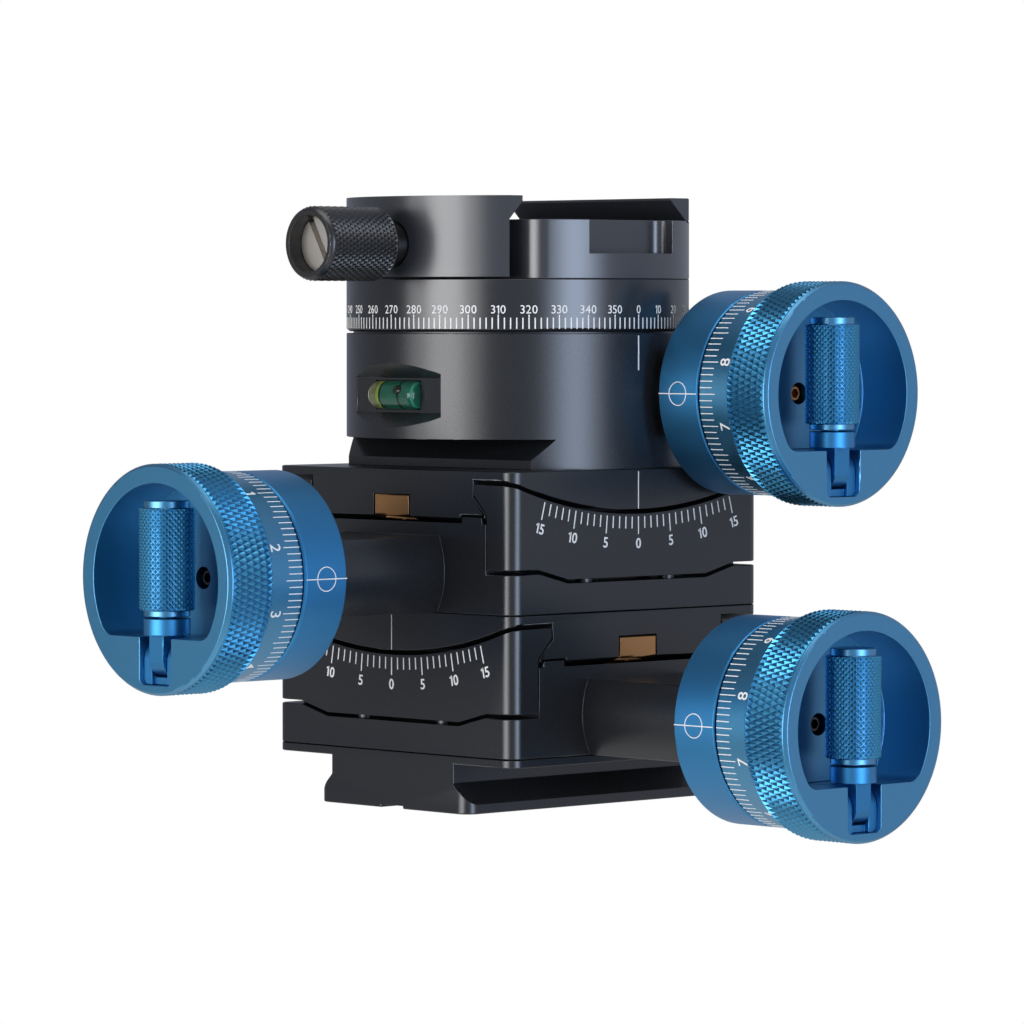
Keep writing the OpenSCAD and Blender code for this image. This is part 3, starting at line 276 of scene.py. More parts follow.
def grain_group():
    """Makes the node group of fine grain, which gives a height and a roughness."""
    tree = bpy.data.node_groups.new("anodised_grain", "ShaderNodeTree")
    for name, default in GRAIN_INPUTS.items():
        socket = tree.interface.new_socket(name, in_out="INPUT", socket_type="NodeSocketFloat")
        socket.default_value = default
    for name in ("Height", "Roughness"):
        tree.interface.new_socket(name, in_out="OUTPUT", socket_type="NodeSocketFloat")
    given = node_of(tree, "NodeGroupInput", (-600, 0))
    made = node_of(tree, "NodeGroupOutput", (400, 0))
    place = node_of(tree, "ShaderNodeTexCoord", (-600, -200))
    noise = node_of(tree, "ShaderNodeTexNoise", (-300, 0), Detail=GRAIN_DETAIL)
    centred = node_of(tree, "ShaderNodeMath", (-100, -100))
    centred.operation = "SUBTRACT"
    centred.inputs[1].default_value = NOISE_MEAN
    spread = node_of(tree, "ShaderNodeMath", (100, -100))
    spread.operation = "MULTIPLY_ADD"
    link = tree.links.new
    link(place.outputs["Object"], noise.inputs["Vector"])
    link(given.outputs["Scale"], noise.inputs["Scale"])
    link(noise.outputs["Fac"], centred.inputs[0])
    link(centred.outputs[0], spread.inputs[0])
    link(given.outputs["Spread"], spread.inputs[1])
    link(given.outputs["Roughness"], spread.inputs[2])
    link(noise.outputs["Fac"], made.inputs["Height"])
    link(spread.outputs[0], made.inputs["Roughness"])


def principled(finish):
    """A new material, its node tree and its shader.

    Its name differs from that of the frame's own material of the slot.
    """
    material = bpy.data.materials.new(f"{finish}_finish")
    material.use_nodes = True
    return material, material.node_tree, material.node_tree.nodes["Principled BSDF"]


def grained(name, colour, roughness, spread, bump, **inputs):
    """Makes a finish with fine grain. Other inputs of its shader are set by name."""
    _, tree, shader = principled(name)
    set_inputs(shader, Base_Color=(*colour, 1), **inputs)
    grain = node_of(tree, "ShaderNodeGroup", (-500, 0))
    grain.node_tree = bpy.data.node_groups["anodised_grain"]
    set_inputs(grain, Roughness=roughness, Spread=spread)
    relief = node_of(
        tree, "ShaderNodeBump", (-250, -200), Strength=bump, Distance=GRAIN_HEIGHT)
    tree.links.new(grain.outputs["Roughness"], shader.inputs["Roughness"])
    tree.links.new(grain.outputs["Height"], relief.inputs["Height"])
    tree.links.new(relief.outputs["Normal"], shader.inputs["Normal"])


class HEAD_OT_finishes(bpy.types.Operator):
    """Makes the finishes and gives each CAD node its own"""

    bl_idname = "head.finishes"
    bl_label = "Finishes"

    def execute(self, context):
        colours = context.scene.head_colours
        painted_light_black = [CLAMP_PAINTED_LIGHT * value for value in colours.black]
        blue = {"spread": 0.06, "bump": 0.12, "Metallic": 1, "Coat_Weight": 0.9}
        vial = {"spread": 0.05, "bump": 0.05}
        grain_group()
        grained("black_anodised", colours.black, roughness=0.28, spread=0.06, bump=0.12,
                Specular_IOR_Level=0.75)
        grained("black_turned", colours.black, roughness=0.22, spread=0.06, bump=0.3,
                Specular_IOR_Level=1)
        # A paler copy of the black finish for the clamp: painted light.
        grained("black_jaw_painted_light", painted_light_black, roughness=0.24, spread=0.08, bump=0.3, Specular_IOR_Level=1)
        grained("blue_anodised", colours.blue, roughness=0.44, **blue,
                Coat_Roughness=0.45, Coat_IOR=1.6)
        grained("blue_knurled", colours.knob, roughness=0.3, **blue,
                Coat_Roughness=0.3, Coat_IOR=1.6)
        grained("blue_knob", colours.knob, roughness=0.38, **blue,
                Coat_Roughness=0.32, Coat_IOR=2.0)
        grained("dark_metal", colours.dark, roughness=0.34, spread=0.06, bump=0.1, Metallic=1)
        grained("brass", colours.brass, roughness=0.34, spread=0.1, bump=0.15, Metallic=1)
        grained("steel", colours.steel, roughness=0.42, spread=0.1, bump=0.1, Metallic=1)
        grained("white_paint", colours.paint, roughness=0.6, spread=0.2, bump=0.1)
        grained("vial_glass", colours.glass, roughness=0.03, spread=0.02, bump=0.02,
                Transmission_Weight=1)
        grained("vial_liquid", colours.liquid, roughness=0.15, **vial)
        grained("vial_ring", colours.ring, roughness=0.4, **vial, Specular_IOR_Level=0)
        grained("vial_band", colours.band, roughness=0.3, **vial)
        grained("vial_plug", colours.plug, roughness=0.5, **vial)
        # The bubble's dark colour is painted shade.
        grained("vial_bubble", colours.bubble, roughness=0.08, **vial)
        # Pale finish of the painted highlight on the level's glass.
        grained("vial_painted_highlight", colours.lip, roughness=0.15, **vial)
        for name, node in NODES.items():
            paint(node, finish_of(name))
        return {"FINISHED"}


# In a copied mesh, vertices closer than this are merged, and faces that turn less are joined.
SAME_SPOT = 1e-6
FLAT = math.radians(0.3)
# Edges that turn by more than this are broken, by a share of the edge width that goes by
# node or else by slot. The moving jaw keeps its CAD edges: it has a strip too narrow for a bevel.
EDGE_TURN = math.radians(40)
BREAK = {"blue_anodised": 0.6, "brass": 1.5, "level_body": 0.4, "clamp_body": 0.5}
SHARP = ("clamp_moving_jaw",)
# Endings of the names of blue and brass pieces whose edges are broken.
PLAIN_ENDINGS = ("_index_ring", "_crank_bracket", "_crank_arm", "_rack")


def copy_of(node, name):
    """A merged copy of a CAD node's mesh, free of the frame."""
    obj = bpy.data.objects.new(name, NODES[node].data.copy())
    bpy.context.collection.objects.link(obj)
    pick(obj)
    bpy.ops.mesh.customdata_custom_splitnormals_clear()

    def clean():
        bpy.ops.mesh.remove_doubles(threshold=SAME_SPOT)
        bpy.ops.mesh.dissolve_limited(angle_limit=FLAT)

    in_edit_mode(obj, clean)
    return obj


def true_normals(obj, node):
    """Takes a piece's normals from its CAD node, so that round faces shade evenly."""
    transfer = obj.modifiers.new("normals", "DATA_TRANSFER")
    transfer.object = NODES[node]
    transfer.use_loop_data = True
    transfer.data_types_loops = {"CUSTOM_NORMAL"}
    transfer.loop_mapping = "POLYINTERP_NEAREST"
    pick(obj)
    bpy.ops.object.modifier_apply(modifier=transfer.name)


def broken_edges(node, width):
    """A copy of a CAD node with its sharp edges broken."""
    body = copy_of(node, f"{node}_body")
    bevel = body.modifiers.new("edges", "BEVEL")
    bevel.width = width
    bevel.segments = 2
    bevel.limit_method = "ANGLE"
    bevel.angle_limit = EDGE_TURN
    bevel.use_clamp_overlap = False
    pick(body)
    bpy.ops.object.modifier_apply(modifier=bevel.name)
    if node == "clamp_body":
        # The CAD normals of this node shade one facet of its round corner unevenly.
        smooth(body, degrees=20)
    else:
        smooth(body, degrees=50)
        true_normals(body, node)
    return body


class HEAD_OT_bodies(bpy.types.Operator):
    """Breaks the sharp edges of the black pieces, and of the plain blue and brass ones"""

    bl_idname = "head.bodies"
    bl_label = "Bodies"

    def execute(self, context):
        width = context.scene.head_sizes.edge
        black = [n for n, slot in SLOTS.items() if slot == "black_anodised" and n not in SHARP]
        plain = [n for n in SLOTS if n.endswith(PLAIN_ENDINGS)]
        for node in black + plain:
            share = BREAK.get(node, BREAK.get(SLOTS[node], 1))
            dress(broken_edges(node, width * share), node)
        return {"FINISHED"}


# Knurled bands: where they start and end along the piece, and their share of the rims' depth.
# A rim's band is measured back from the knob's face, a grip's up from its foot, and the thumb
# knob's from its outer end.
RIM_BACK, RIM_FRONT = 9.45 * MM, 0.87 * MM
GRIP_BAND, GRIP_DEPTH = (1.0 * MM, 18.0 * MM), 0.75
THUMB_BAND, THUMB_DEPTH = (0.7 * MM, 15.0 * MM), 0.7
# Width of the broken edges on the knobs, and on the grips and the thumb knob.
RIM_EDGE, GRIP_EDGE = 0.25 * MM, 0.12 * MM
# The skin under a band is sunk beyond its ends, with some slack, and the band ends inside them.
SUNK_BEYOND, BAND_SLACK, BAND_INSIDE = 0.15 * MM, 0.01 * MM, 0.05 * MM


def knurl_band(name, radius, low, high, around, rows, depth):
    """A tube of diamond pyramids about Z, from one height to another."""
    deselect()
    bpy.ops.mesh.primitive_cylinder_add(
        vertices=around, radius=radius, depth=high - low, end_fill_type="NOTHING",
        location=(0, 0, (low + high) / 2))
    band = bpy.context.object
    band.name = name
    apply_place(band)

    def pyramids():
        select_edges(lambda e: abs(e.verts[0].co.z - e.verts[1].co.z) > SAME_SPOT)
        bpy.ops.mesh.subdivide(number_cuts=rows - 1)
        bpy.ops.mesh.select_all(action="SELECT")
        bpy.ops.mesh.mark_seam(clear=False)
        bpy.ops.mesh.poke()
        select_edges(lambda e: e.seam and not e.is_boundary)
        bpy.ops.mesh.dissolve_edges(use_verts=False)
        bpy.ops.mesh.select_all(action="SELECT")
        bpy.ops.mesh.poke(offset=depth)
        bpy.ops.mesh.mark_seam(clear=True)

    in_edit_mode(band, pyramids)
    return band


def sink_band(obj, place, radius, low, high):
    """Draws the skin of a turned piece in to a radius between two heights of its own frame."""
    back = place.inverted()
    for vertex in obj.data.vertices:
        spot = back @ vertex.co
        reach = math.hypot(spot.x, spot.y)
        if low - BAND_SLACK < spot.z < high + BAND_SLACK and reach > radius:
            spot.x *= radius / reach
            spot.y *= radius / reach
            vertex.co = place @ spot


def knurled(node, place, outer, span, around, rows, depth, edge):
    """Makes a CAD node with a knurled band in place of part of its skin."""
    low, high = span
    body = broken_edges(node, edge)
    valley = outer - depth
    sink_band(body, place, valley, low - SUNK_BEYOND, high + SUNK_BEYOND)
    band = knurl_band(
        f"{node}_knurl", valley, low + BAND_INSIDE, high - BAND_INSIDE, around, rows, depth)
    band.data.transform(place)
    blue = SLOTS[node] == "blue_anodised"
    paint(body, "blue_knob" if blue else SLOTS[node])
    paint(band, "blue_knurled" if blue else SLOTS[node])
    stand_for(join([body, band], f"{node}_knurled"), node)


class HEAD_OT_knobs(bpy.types.Operator):
    """Knurls the rims of the knobs and the grips of their cranks"""

    bl_idname = "head.knobs"
    bl_label = "Knobs"

    def execute(self, context):
        sizes = context.scene.head_sizes
        for name in KNOB_NAMES:
            place = knob_frame(name)
            low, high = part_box(f"{name}_knob")
            rim = (high.z - low.z) / 2
            face = max(abs((place.inverted() @ corner).z) for corner in (low, high))
            knurled(f"{name}_knob", place, rim, (face - RIM_BACK, face - RIM_FRONT),
                    sizes.rim_around, sizes.rim_rows, sizes.knurl_depth, RIM_EDGE)
            low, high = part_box(f"{name}_crank_grip")
            upright = Matrix.Translation(((low.x + high.x) / 2, (low.y + high.y) / 2, low.z))
            knurled(f"{name}_crank_grip", upright, (high.x - low.x) / 2, GRIP_BAND,
                    sizes.grip_around, sizes.grip_rows, sizes.knurl_depth * GRIP_DEPTH, GRIP_EDGE)
        return {"FINISHED"}


class HEAD_OT_thumb_knob(bpy.types.Operator):
    """Knurls the clamp's thumb knob"""

    bl_idname = "head.thumb_knob"
    bl_label = "Thumb knob"

    def execute(self, context):
        sizes = context.scene.head_sizes
        low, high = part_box("clamp_thumb_knob")
        place = Matrix.Translation(((low.x + high.x) / 2, low.y, (low.z + high.z) / 2))
        place = place @ Matrix.Rotation(math.radians(-90), 4, "X")
        knurled("clamp_thumb_knob", place, (high.x - low.x) / 2, THUMB_BAND, sizes.thumb_around,
                sizes.thumb_rows, sizes.knurl_depth * THUMB_DEPTH, GRIP_EDGE)
        return {"FINISHED"}


# Painted lines: edges up to this many times the thickness are rounded, by a share of the width.
SHORT_EDGE, END_ROUNDING = 1.2, 0.45
# Digits: half their thickness, the height's share of the font's size, and the gap between them
# and the flag of a 1 as shares of their height.
DIGIT_HALF = 0.02 * MM
CAPITAL_HEIGHT = 0.7
DIGIT_GAP = 0.15
FLAG_LENGTH, FLAG_WIDTH = 0.34, 0.12
FLAG_LEFT, FLAG_UP = 0.04, 0.84
FLAG_TURN = math.radians(40)


def bar(name, centre, size):
    """A painted line with round ends: a box whose shortest edges are rounded."""
    deselect()
    bpy.ops.mesh.primitive_cube_add(size=1, location=centre, scale=size)
    obj = bpy.context.object
    obj.name = name
    apply_place(obj)
    thick, width = sorted(size)[:2]

    def ends():
        select_edges(lambda e: e.calc_length() < SHORT_EDGE * thick)
        bpy.ops.mesh.bevel(offset=END_ROUNDING * width, segments=2, affect="EDGES")

    in_edit_mode(obj, ends)
    return obj


def round_ticks(name, radius, start, length, width, count, lift, turn=0.0):
    """Painted lines round a cylinder about Z: each runs along Z from start."""
    ticks = bar(name, (radius, 0, start + length / 2), (2 * lift, width, length))
    ticks.data.transform(Matrix.Rotation(turn, 4, "Z"))
    step = 2 * math.pi / count

    def around():
        bpy.ops.mesh.spin(
            steps=count - 1, dupli=True, angle=step * (count - 1), center=(0, 0, 0),
            axis=(0, 0, 1), use_auto_merge=False)

    if count > 1:
        in_edit_mode(ticks, around)
    return ticks


def glyph(sign, height, bold):
    """One digit as a flat mesh on the X axis, with its face up. A 1 gets a flag."""
    deselect()
    bpy.ops.object.text_add(location=(0, 0, 0))
    text = bpy.context.object.data
    text.body = sign
    text.size = height / CAPITAL_HEIGHT
    text.offset = bold
    text.extrude = DIGIT_HALF
    text.resolution_u = 4
    bpy.ops.object.convert(target="MESH")
    obj = bpy.context.object
    if sign == "1":
        left = min(v.co.x for v in obj.data.vertices)
        size = (FLAG_LENGTH * height, FLAG_WIDTH * height + 2 * bold, 2 * DIGIT_HALF)
        flag = bar("flag", (0, 0, 0), size)
        flag.data.transform(Matrix.Rotation(FLAG_TURN, 4, "Z"))
        spot = (left - FLAG_LEFT * height, FLAG_UP * height, 0)
        flag.data.transform(Matrix.Translation(spot))
        obj = join([obj, flag], "one")
    return obj


def numeral(text, height, bold):
    """A number as a flat mesh in the XY plane, centred, with its face up."""
    digits, end, gap = [], 0.0, DIGIT_GAP * height
    for sign in text:
        digit = glyph(sign, height, bold)
        reach = [v.co.x for v in digit.data.vertices]
        digit.data.transform(Matrix.Translation((end - min(reach), 0, 0)))
        end += max(reach) - min(reach) + gap
        digits.append(digit)
    number = join(digits, text)
    number.data.transform(Matrix.Translation(((gap - end) / 2, -height / 2, 0)))
    return number


def wrap(obj, radius, angle, height, upward):
    """Bends a flat mark round a cylinder about Z, at an angle and height.

    Its upper side points along Z where upward is 1, and against Z where it is -1.
    """
    for vertex in obj.data.vertices:
        flat = vertex.co.copy()
        turn = angle + upward * flat.x / radius
        reach = radius + flat.z
        vertex.co = (reach * math.cos(turn), reach * math.sin(turn), height + upward * flat.y)


# Dials: lengths along a knob's axis are from the back of its index ring, or from the dial's start.
RING_LENGTH = 9.4 * MM
DIAL_START = RING_LENGTH + 0.6 * MM
DIAL_NUMBERS = 10
DIAL_LINES, DIAL_LONG_LINES = 100, 20
DIAL_LINE, DIAL_LONGER, DIAL_LINE_WIDTH = 2.95 * MM, 0.65 * MM, 0.16 * MM
DIAL_DIGIT, DIAL_BOLD, DIAL_DIGIT_UP = 2.15 * MM, 0.015 * MM, 5.25 * MM
INDEX_START, INDEX_LENGTH, INDEX_WIDTH = 0.15 * MM, RING_LENGTH - 0.35 * MM, 0.17 * MM
CIRCLE_RADIUS, CIRCLE_HALF_LINE = 2.02 * MM, 0.085 * MM
# Each dial's reading at rest, and the angle at which its index mark sits.
DIAL_RESTS = {"upper": (2.5, 0.0), "lower": (7.5, math.pi), "pan": (7.5, math.pi)}


def dial_marks(name, radius, reading, index, lift):
    """The lines and numbers round a dial."""
    parts = [
        round_ticks("short", radius, DIAL_START, DIAL_LINE, DIAL_LINE_WIDTH,
                    DIAL_LINES, lift, index),
        round_ticks("long", radius, DIAL_START + DIAL_LINE, DIAL_LONGER, DIAL_LINE_WIDTH,
                    DIAL_LONG_LINES, lift, index),
    ]
    for number in range(DIAL_NUMBERS):
        digit = numeral(str(number), DIAL_DIGIT, DIAL_BOLD)
        angle = index - 2 * math.pi / DIAL_NUMBERS * (number - reading)
        wrap(digit, radius + lift, angle, DIAL_START + DIAL_DIGIT_UP, -1)
        parts.append(digit)
    return join(parts, f"{name}_dial_marks")


def index_mark(name, radius, index, lift):
    """The line and circle on an index ring."""
    line = round_ticks("line", radius, INDEX_START, INDEX_LENGTH, INDEX_WIDTH, 1, lift, index)
    deselect()
    bpy.ops.mesh.primitive_torus_add(
        major_radius=CIRCLE_RADIUS, minor_radius=CIRCLE_HALF_LINE, major_segments=48,
        minor_segments=6)
    circle = bpy.context.object
    wrap(circle, radius, index, RING_LENGTH / 2, -1)
    return join([line, circle], f"{name}_index_mark")


class HEAD_OT_dials(bpy.types.Operator):
    """Paints the lines and numbers of the dials, and the index marks beside them"""

    bl_idname = "head.dials"
    bl_label = "Dials"

    def execute(self, context):
        lift = context.scene.head_sizes.mark_lift
        for name, (reading, index) in DIAL_RESTS.items():
            place = knob_frame(name)
            low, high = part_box(f"{name}_index_ring")
            radius = (high.z - low.z) / 2
            dial = dial_marks(name, radius, reading, index, lift)
            dial.data.transform(place)
            put_mark(dial, f"{name}_knob")
            mark = index_mark(name, radius, index, lift)
            mark.data.transform(place)
            put_mark(mark, BODY_OF[f"{name}_index_ring"])
        return {"FINISHED"}


# The washer, with its slack above and below. The ring's underside is looked for outside a radius.
WASHER_RADIUS, WASHER_WIDTH, WASHER_SLACK = 28.8 * MM, 5 * MM, 0.02 * MM
UNDERSIDE_FROM = 25 * MM


class HEAD_OT_pan_washer(bpy.types.Operator):
    """Fills the gap under the graduated ring with a thin washer, set back from the skin"""

    bl_idname = "head.pan_washer"
    bl_label = "Washer"

    def execute(self, context):
        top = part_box("level_body")[1].z
        skin = NODES["pan_scale_ring"].data.vertices
        under = min(v.co.z for v in skin if math.hypot(v.co.x, v.co.y) > UNDERSIDE_FROM)
        deselect()
        bpy.ops.mesh.primitive_cylinder_add(
            vertices=128, radius=WASHER_RADIUS, depth=under - top - 2 * WASHER_SLACK,
            location=(0, 0, (under + top) / 2))
        washer = context.object
        washer.name = washer.data.name = "pan_washer"
        apply_place(washer)

        def hollow():
            # The two round faces are the only ones with more than four corners.
            bpy.ops.mesh.select_mode(type="FACE")
            bpy.ops.mesh.select_all(action="DESELECT")
            mesh = bmesh.from_edit_mesh(washer.data)
            for face in mesh.faces:
                face.select_set(len(face.verts) > 4)
            bmesh.update_edit_mesh(washer.data)
            bpy.ops.mesh.inset(thickness=WASHER_WIDTH)
            bpy.ops.mesh.bridge_edge_loops()

        in_edit_mode(washer, hollow)
        smooth(washer)
        paint(washer, "black_anodised")
        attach(washer, BODY_OF["level_body"])
        return {"FINISHED"}


# The panning scale: heights are from the level body's top, or from the foot of the lines.
PAN_FOOT = 0.8 * MM
PAN_STEP = 10  # degrees between numbers
PAN_LINES, PAN_LONG_LINES = 180, 36
PAN_LINE, PAN_LONGER, PAN_LINE_WIDTH = 1.95 * MM, 0.5 * MM, 0.22 * MM
PAN_DIGIT, PAN_BOLD, PAN_DIGIT_UP = 1.42 * MM, 0.0, 3.35 * MM
PAN_INDEX_DOWN, PAN_INDEX, PAN_INDEX_WIDTH = 6.3 * MM, 6.0 * MM, 0.28 * MM


class HEAD_OT_pan_scale(bpy.types.Operator):
    """Paints the panning scale and its index line"""

    bl_idname = "head.pan_scale"
    bl_label = "Panning scale"

    def execute(self, context):
        lift = context.scene.head_sizes.mark_lift
        low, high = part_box("pan_scale_ring")
        radius = (high.x - low.x) / 2
        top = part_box("level_body")[1].z
        foot = top + PAN_FOOT
        parts = [
            round_ticks("short", radius, foot, PAN_LINE, PAN_LINE_WIDTH, PAN_LINES, lift),
            round_ticks("long", radius, foot + PAN_LINE, PAN_LONGER, PAN_LINE_WIDTH,
                        PAN_LONG_LINES, lift),
        ]
        for value in range(0, 360, PAN_STEP):
            digits = numeral(str(value), PAN_DIGIT, PAN_BOLD)
            wrap(digits, radius + lift, math.radians(value), foot + PAN_DIGIT_UP, 1)
            parts.append(digits)
        put_mark(join(parts, "pan_scale_marks"), "platform")
        line = round_ticks("pan_index_line", radius, top - PAN_INDEX_DOWN, PAN_INDEX,
                           PAN_INDEX_WIDTH, 1, lift)
        put_mark(line, "upper_cradle")
        return {"FINISHED"}


# Tilt scales: angles in degrees, and radii from the tilt axis.
TILT_REACH, TILT_STEP = 15, 5
TILT_RADIUS, TILT_DIGIT_RADIUS, TILT_INDEX_RADIUS = 86.15 * MM, 90.75 * MM, 84.85 * MM
TILT_LINE, TILT_LONG_LINE, TILT_LINE_WIDTH = 2.1 * MM, 3.1 * MM, 0.23 * MM
TILT_DIGIT, TILT_BOLD = 1.75 * MM, 0.035 * MM
TILT_INDEX_DOWN, TILT_INDEX_WIDTH = 0.4 * MM, 0.2 * MM
# Cheek with the scale, cradle with the index line, the way they face, and their joint.
TILT_SCALES = (
    ("lower_cheek_front", "lower_cradle", Vector((0, -1, 0)), "lower_tilt"),
    ("upper_cheek_right", "upper_cradle", Vector((1, 0, 0)), "upper_tilt"),
)


def face_frame(node, out, centre_z):
    """Matrix of a cheek's outer face, from the tilt axis. X points to a viewer's right."""
    low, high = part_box(node)
    spot = Vector((0, 0, centre_z))
    for axis in (0, 1):
        if out[axis]:
            spot[axis] = high[axis] if out[axis] > 0 else low[axis]
    return axes_at(spot, Vector((0, 0, 1)).cross(out), out)


class HEAD_OT_tilt_scales(bpy.types.Operator):
    """Paints the arc scales on the cheeks and the index lines on the cradles"""

    bl_idname = "head.tilt_scales"
    bl_label = "Tilt scales"

    def execute(self, context):
        lift = context.scene.head_sizes.mark_lift
        joints = {j["name"]: j for j in frame["joints"]}
        for cheek, cradle, out, joint in TILT_SCALES:
            centre = joints[joint]["pos_m"][2]
            place = face_frame(cheek, out, centre)
            parts = []
            for angle in range(-TILT_REACH, TILT_REACH + 1):
                numbered = angle % TILT_STEP == 0
                length = TILT_LONG_LINE if numbered else TILT_LINE
                turn = Matrix.Rotation(math.radians(angle), 4, "Z")
                tick = bar("tick", (0, -TILT_RADIUS - length / 2, 0),
                           (TILT_LINE_WIDTH, length, 2 * lift))
                tick.data.transform(turn)
                parts.append(tick)
                if numbered:
                    digits = numeral(str(abs(angle)), TILT_DIGIT, TILT_BOLD)
                    spot = Matrix.Translation((0, -TILT_DIGIT_RADIUS, lift))
                    digits.data.transform(turn @ spot)
                    parts.append(digits)
            marks = join(parts, f"{cheek}_marks")
            marks.data.transform(place)
            put_mark(marks, BODY_OF[cheek])
            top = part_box(cradle)[1].z - centre - TILT_INDEX_DOWN
            line = bar(f"{cradle}_index_line", (0, (top - TILT_INDEX_RADIUS) / 2, 0),
                       (TILT_INDEX_WIDTH, top + TILT_INDEX_RADIUS, 2 * lift))
            line.data.transform(place)
            put_mark(line, BODY_OF[cradle])
        return {"FINISHED"}


# The level: starts along the vial are from its left end, and radii are shares of the tube's.
TUBE_ROUNDING = 1.2 * MM
PLUG_START, PLUG_RADIUS, PLUG_ROUNDING = 0.45 * MM, 0.92, 0.3 * MM
BAND_START = 2.35 * MM
LIQUID_START, LIQUID_RADIUS, LIQUID_ROUNDING = 3.08 * MM, 0.94, 0.5 * MM
LIQUID_SHORT = 0.2 * MM  # how much sooner it ends than the tube
VIAL_RING_STEP, VIAL_RING_WIDTH, VIAL_RING_RADIUS = 4.64 * MM, 0.34 * MM, 0.97
THIN_ROUNDING = 0.02 * MM  # of the band and the rings
# Painted highlight: a pale ring just inside the tube's left end, for the glint on the glass's end.
PAINTED_HIGHLIGHT_START, PAINTED_HIGHLIGHT_RADIUS, PAINTED_HIGHLIGHT_HALF = 0.22 * MM, 0.74, 0.2 * MM
# The bubble: a dark, glossy, flattened sphere at the front of the liquid; its darkness is painted shade.
BUBBLE_RADIUS, BUBBLE_STRETCH = 1.05 * MM, (0.85, 1.0, 1.3)
BUBBLE_UP, BUBBLE_FRONT, BUBBLE_ALONG = 0.75 * MM, 0.63, 4.6 * MM


def vial_rod(name, place, radius, start, end, rounding):
    """A rod with round ends along the vial, between two places from its middle."""
    deselect()
    bpy.ops.mesh.primitive_cylinder_add(
        vertices=48, radius=radius, depth=end - start, location=(0, 0, (start + end) / 2))
    obj = bpy.context.object
    obj.name = obj.data.name = name
    apply_place(obj)
    bevel = obj.modifiers.new("ends", "BEVEL")
    bevel.width = rounding
    bevel.segments = 5
    bevel.limit_method = "ANGLE"
    bpy.ops.object.modifier_apply(modifier=bevel.name)
    obj.data.transform(place)
    smooth(obj, degrees=40)
    return obj


def put_in_vial(obj, finish):
    """Gives a piece inside the vial its finish, and lets it ride with the vial."""
    paint(obj, finish)
    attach(obj, BODY_OF["level_vial"])


class HEAD_OT_level(bpy.types.Operator):
    """Makes the level's glass tube, liquid, band, plug and rings, a pale ring painted as the highlight on the
    glass's end, and a bubble whose darkness is painted shade
    """

    bl_idname = "head.level"
    bl_label = "Level"

    def execute(self, context):
        low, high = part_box("level_vial")
        radius, end = (high.z - low.z) / 2, (high.x - low.x) / 2
        place = Matrix.Translation((low + high) / 2)
        place = place @ Matrix.Rotation(math.radians(90), 4, "Y")
        plug, band, fill, painted_highlight_start = (
            start - end for start in (PLUG_START, BAND_START, LIQUID_START, PAINTED_HIGHLIGHT_START))
        inside = radius * LIQUID_RADIUS

        tube = vial_rod("level_tube", place, radius, -end, end, TUBE_ROUNDING)
        dress(tube, "level_vial")
        core = vial_rod("level_core", place, inside, fill, end - LIQUID_SHORT, LIQUID_ROUNDING)
        dress(core, "level_liquid")
        put_in_vial(vial_rod("level_band", place, inside, band, fill, THIN_ROUNDING), "vial_band")
        stopper = vial_rod("level_plug", place, radius * PLUG_RADIUS, plug, band, PLUG_ROUNDING)
        put_in_vial(stopper, "vial_plug")
        rings = [
            vial_rod("ring", place, radius * VIAL_RING_RADIUS, start, start + VIAL_RING_WIDTH,
                     THIN_ROUNDING)
            for start in (fill, fill + VIAL_RING_STEP)]
        put_in_vial(join(rings, "level_rings"), "vial_ring")

        # A painted highlight: a pale ring just inside the tube's left end, for the glint on the glass.
        deselect()
        bpy.ops.mesh.primitive_torus_add(
            major_radius=radius * PAINTED_HIGHLIGHT_RADIUS, minor_radius=PAINTED_HIGHLIGHT_HALF, major_segments=40,
            minor_segments=8, location=(0, 0, painted_highlight_start))
        lip = context.object
        apply_place(lip)
        lip.name = lip.data.name = "level_painted_highlight"
        lip.data.transform(place)
        smooth(lip, degrees=60)
        put_in_vial(lip, "vial_painted_highlight")

        # The bubble, dark with painted shade.
        deselect()
        bpy.ops.mesh.primitive_uv_sphere_add(segments=24, ring_count=12, radius=BUBBLE_RADIUS)
        bubble = context.object
        bubble.name = bubble.data.name = "level_bubble"
        in_edit_mode(bubble, lambda: bpy.ops.transform.resize(value=BUBBLE_STRETCH))
        spot = (-BUBBLE_UP, -radius * BUBBLE_FRONT, fill + BUBBLE_ALONG)
        bubble.data.transform(place @ Matrix.Translation(spot))
        smooth(bubble, degrees=60)
        put_in_vial(bubble, "vial_bubble")
        return {"FINISHED"}


# The camera: its side and how far it looks down, its place in metres, sensor and lens in mm.
AZIMUTH, PITCH = math.radians(46.382), math.radians(2.078)
CAMERA_PLACE = (0.71928, -0.68678, 0.08636)
SENSOR, LENS = 36, 199.33
# The lamps: what they point at, and for each of those round the object its degrees to the right
# of the camera's side, distance, size, power and colour.
HEART = Vector((0, 0, 0.055))
FACING = Vector((math.sin(AZIMUTH), -math.cos(AZIMUTH), 0))
WHITE, COOL = (1, 1, 1), (0.64, 0.77, 1.0)
SIDE_LAMPS = {
    "left_box": (-51, 1.1, (1.1, 0.55), 3.9, WHITE),
    "left_glow": (-49, 1.09, (0.5, 0.55), 2.7, WHITE),
    "right_box": (38, 1.1, (0.75, 0.55), 3.0, COOL),
    "right_glow": (38, 1.09, (0.35, 0.55), 2.1, COOL),
}
TOP_OFFSET, TOP_SIZE, TOP_POWER = Vector((0.1, -0.1, 1.0)), (0.9, 0.9), 4.5
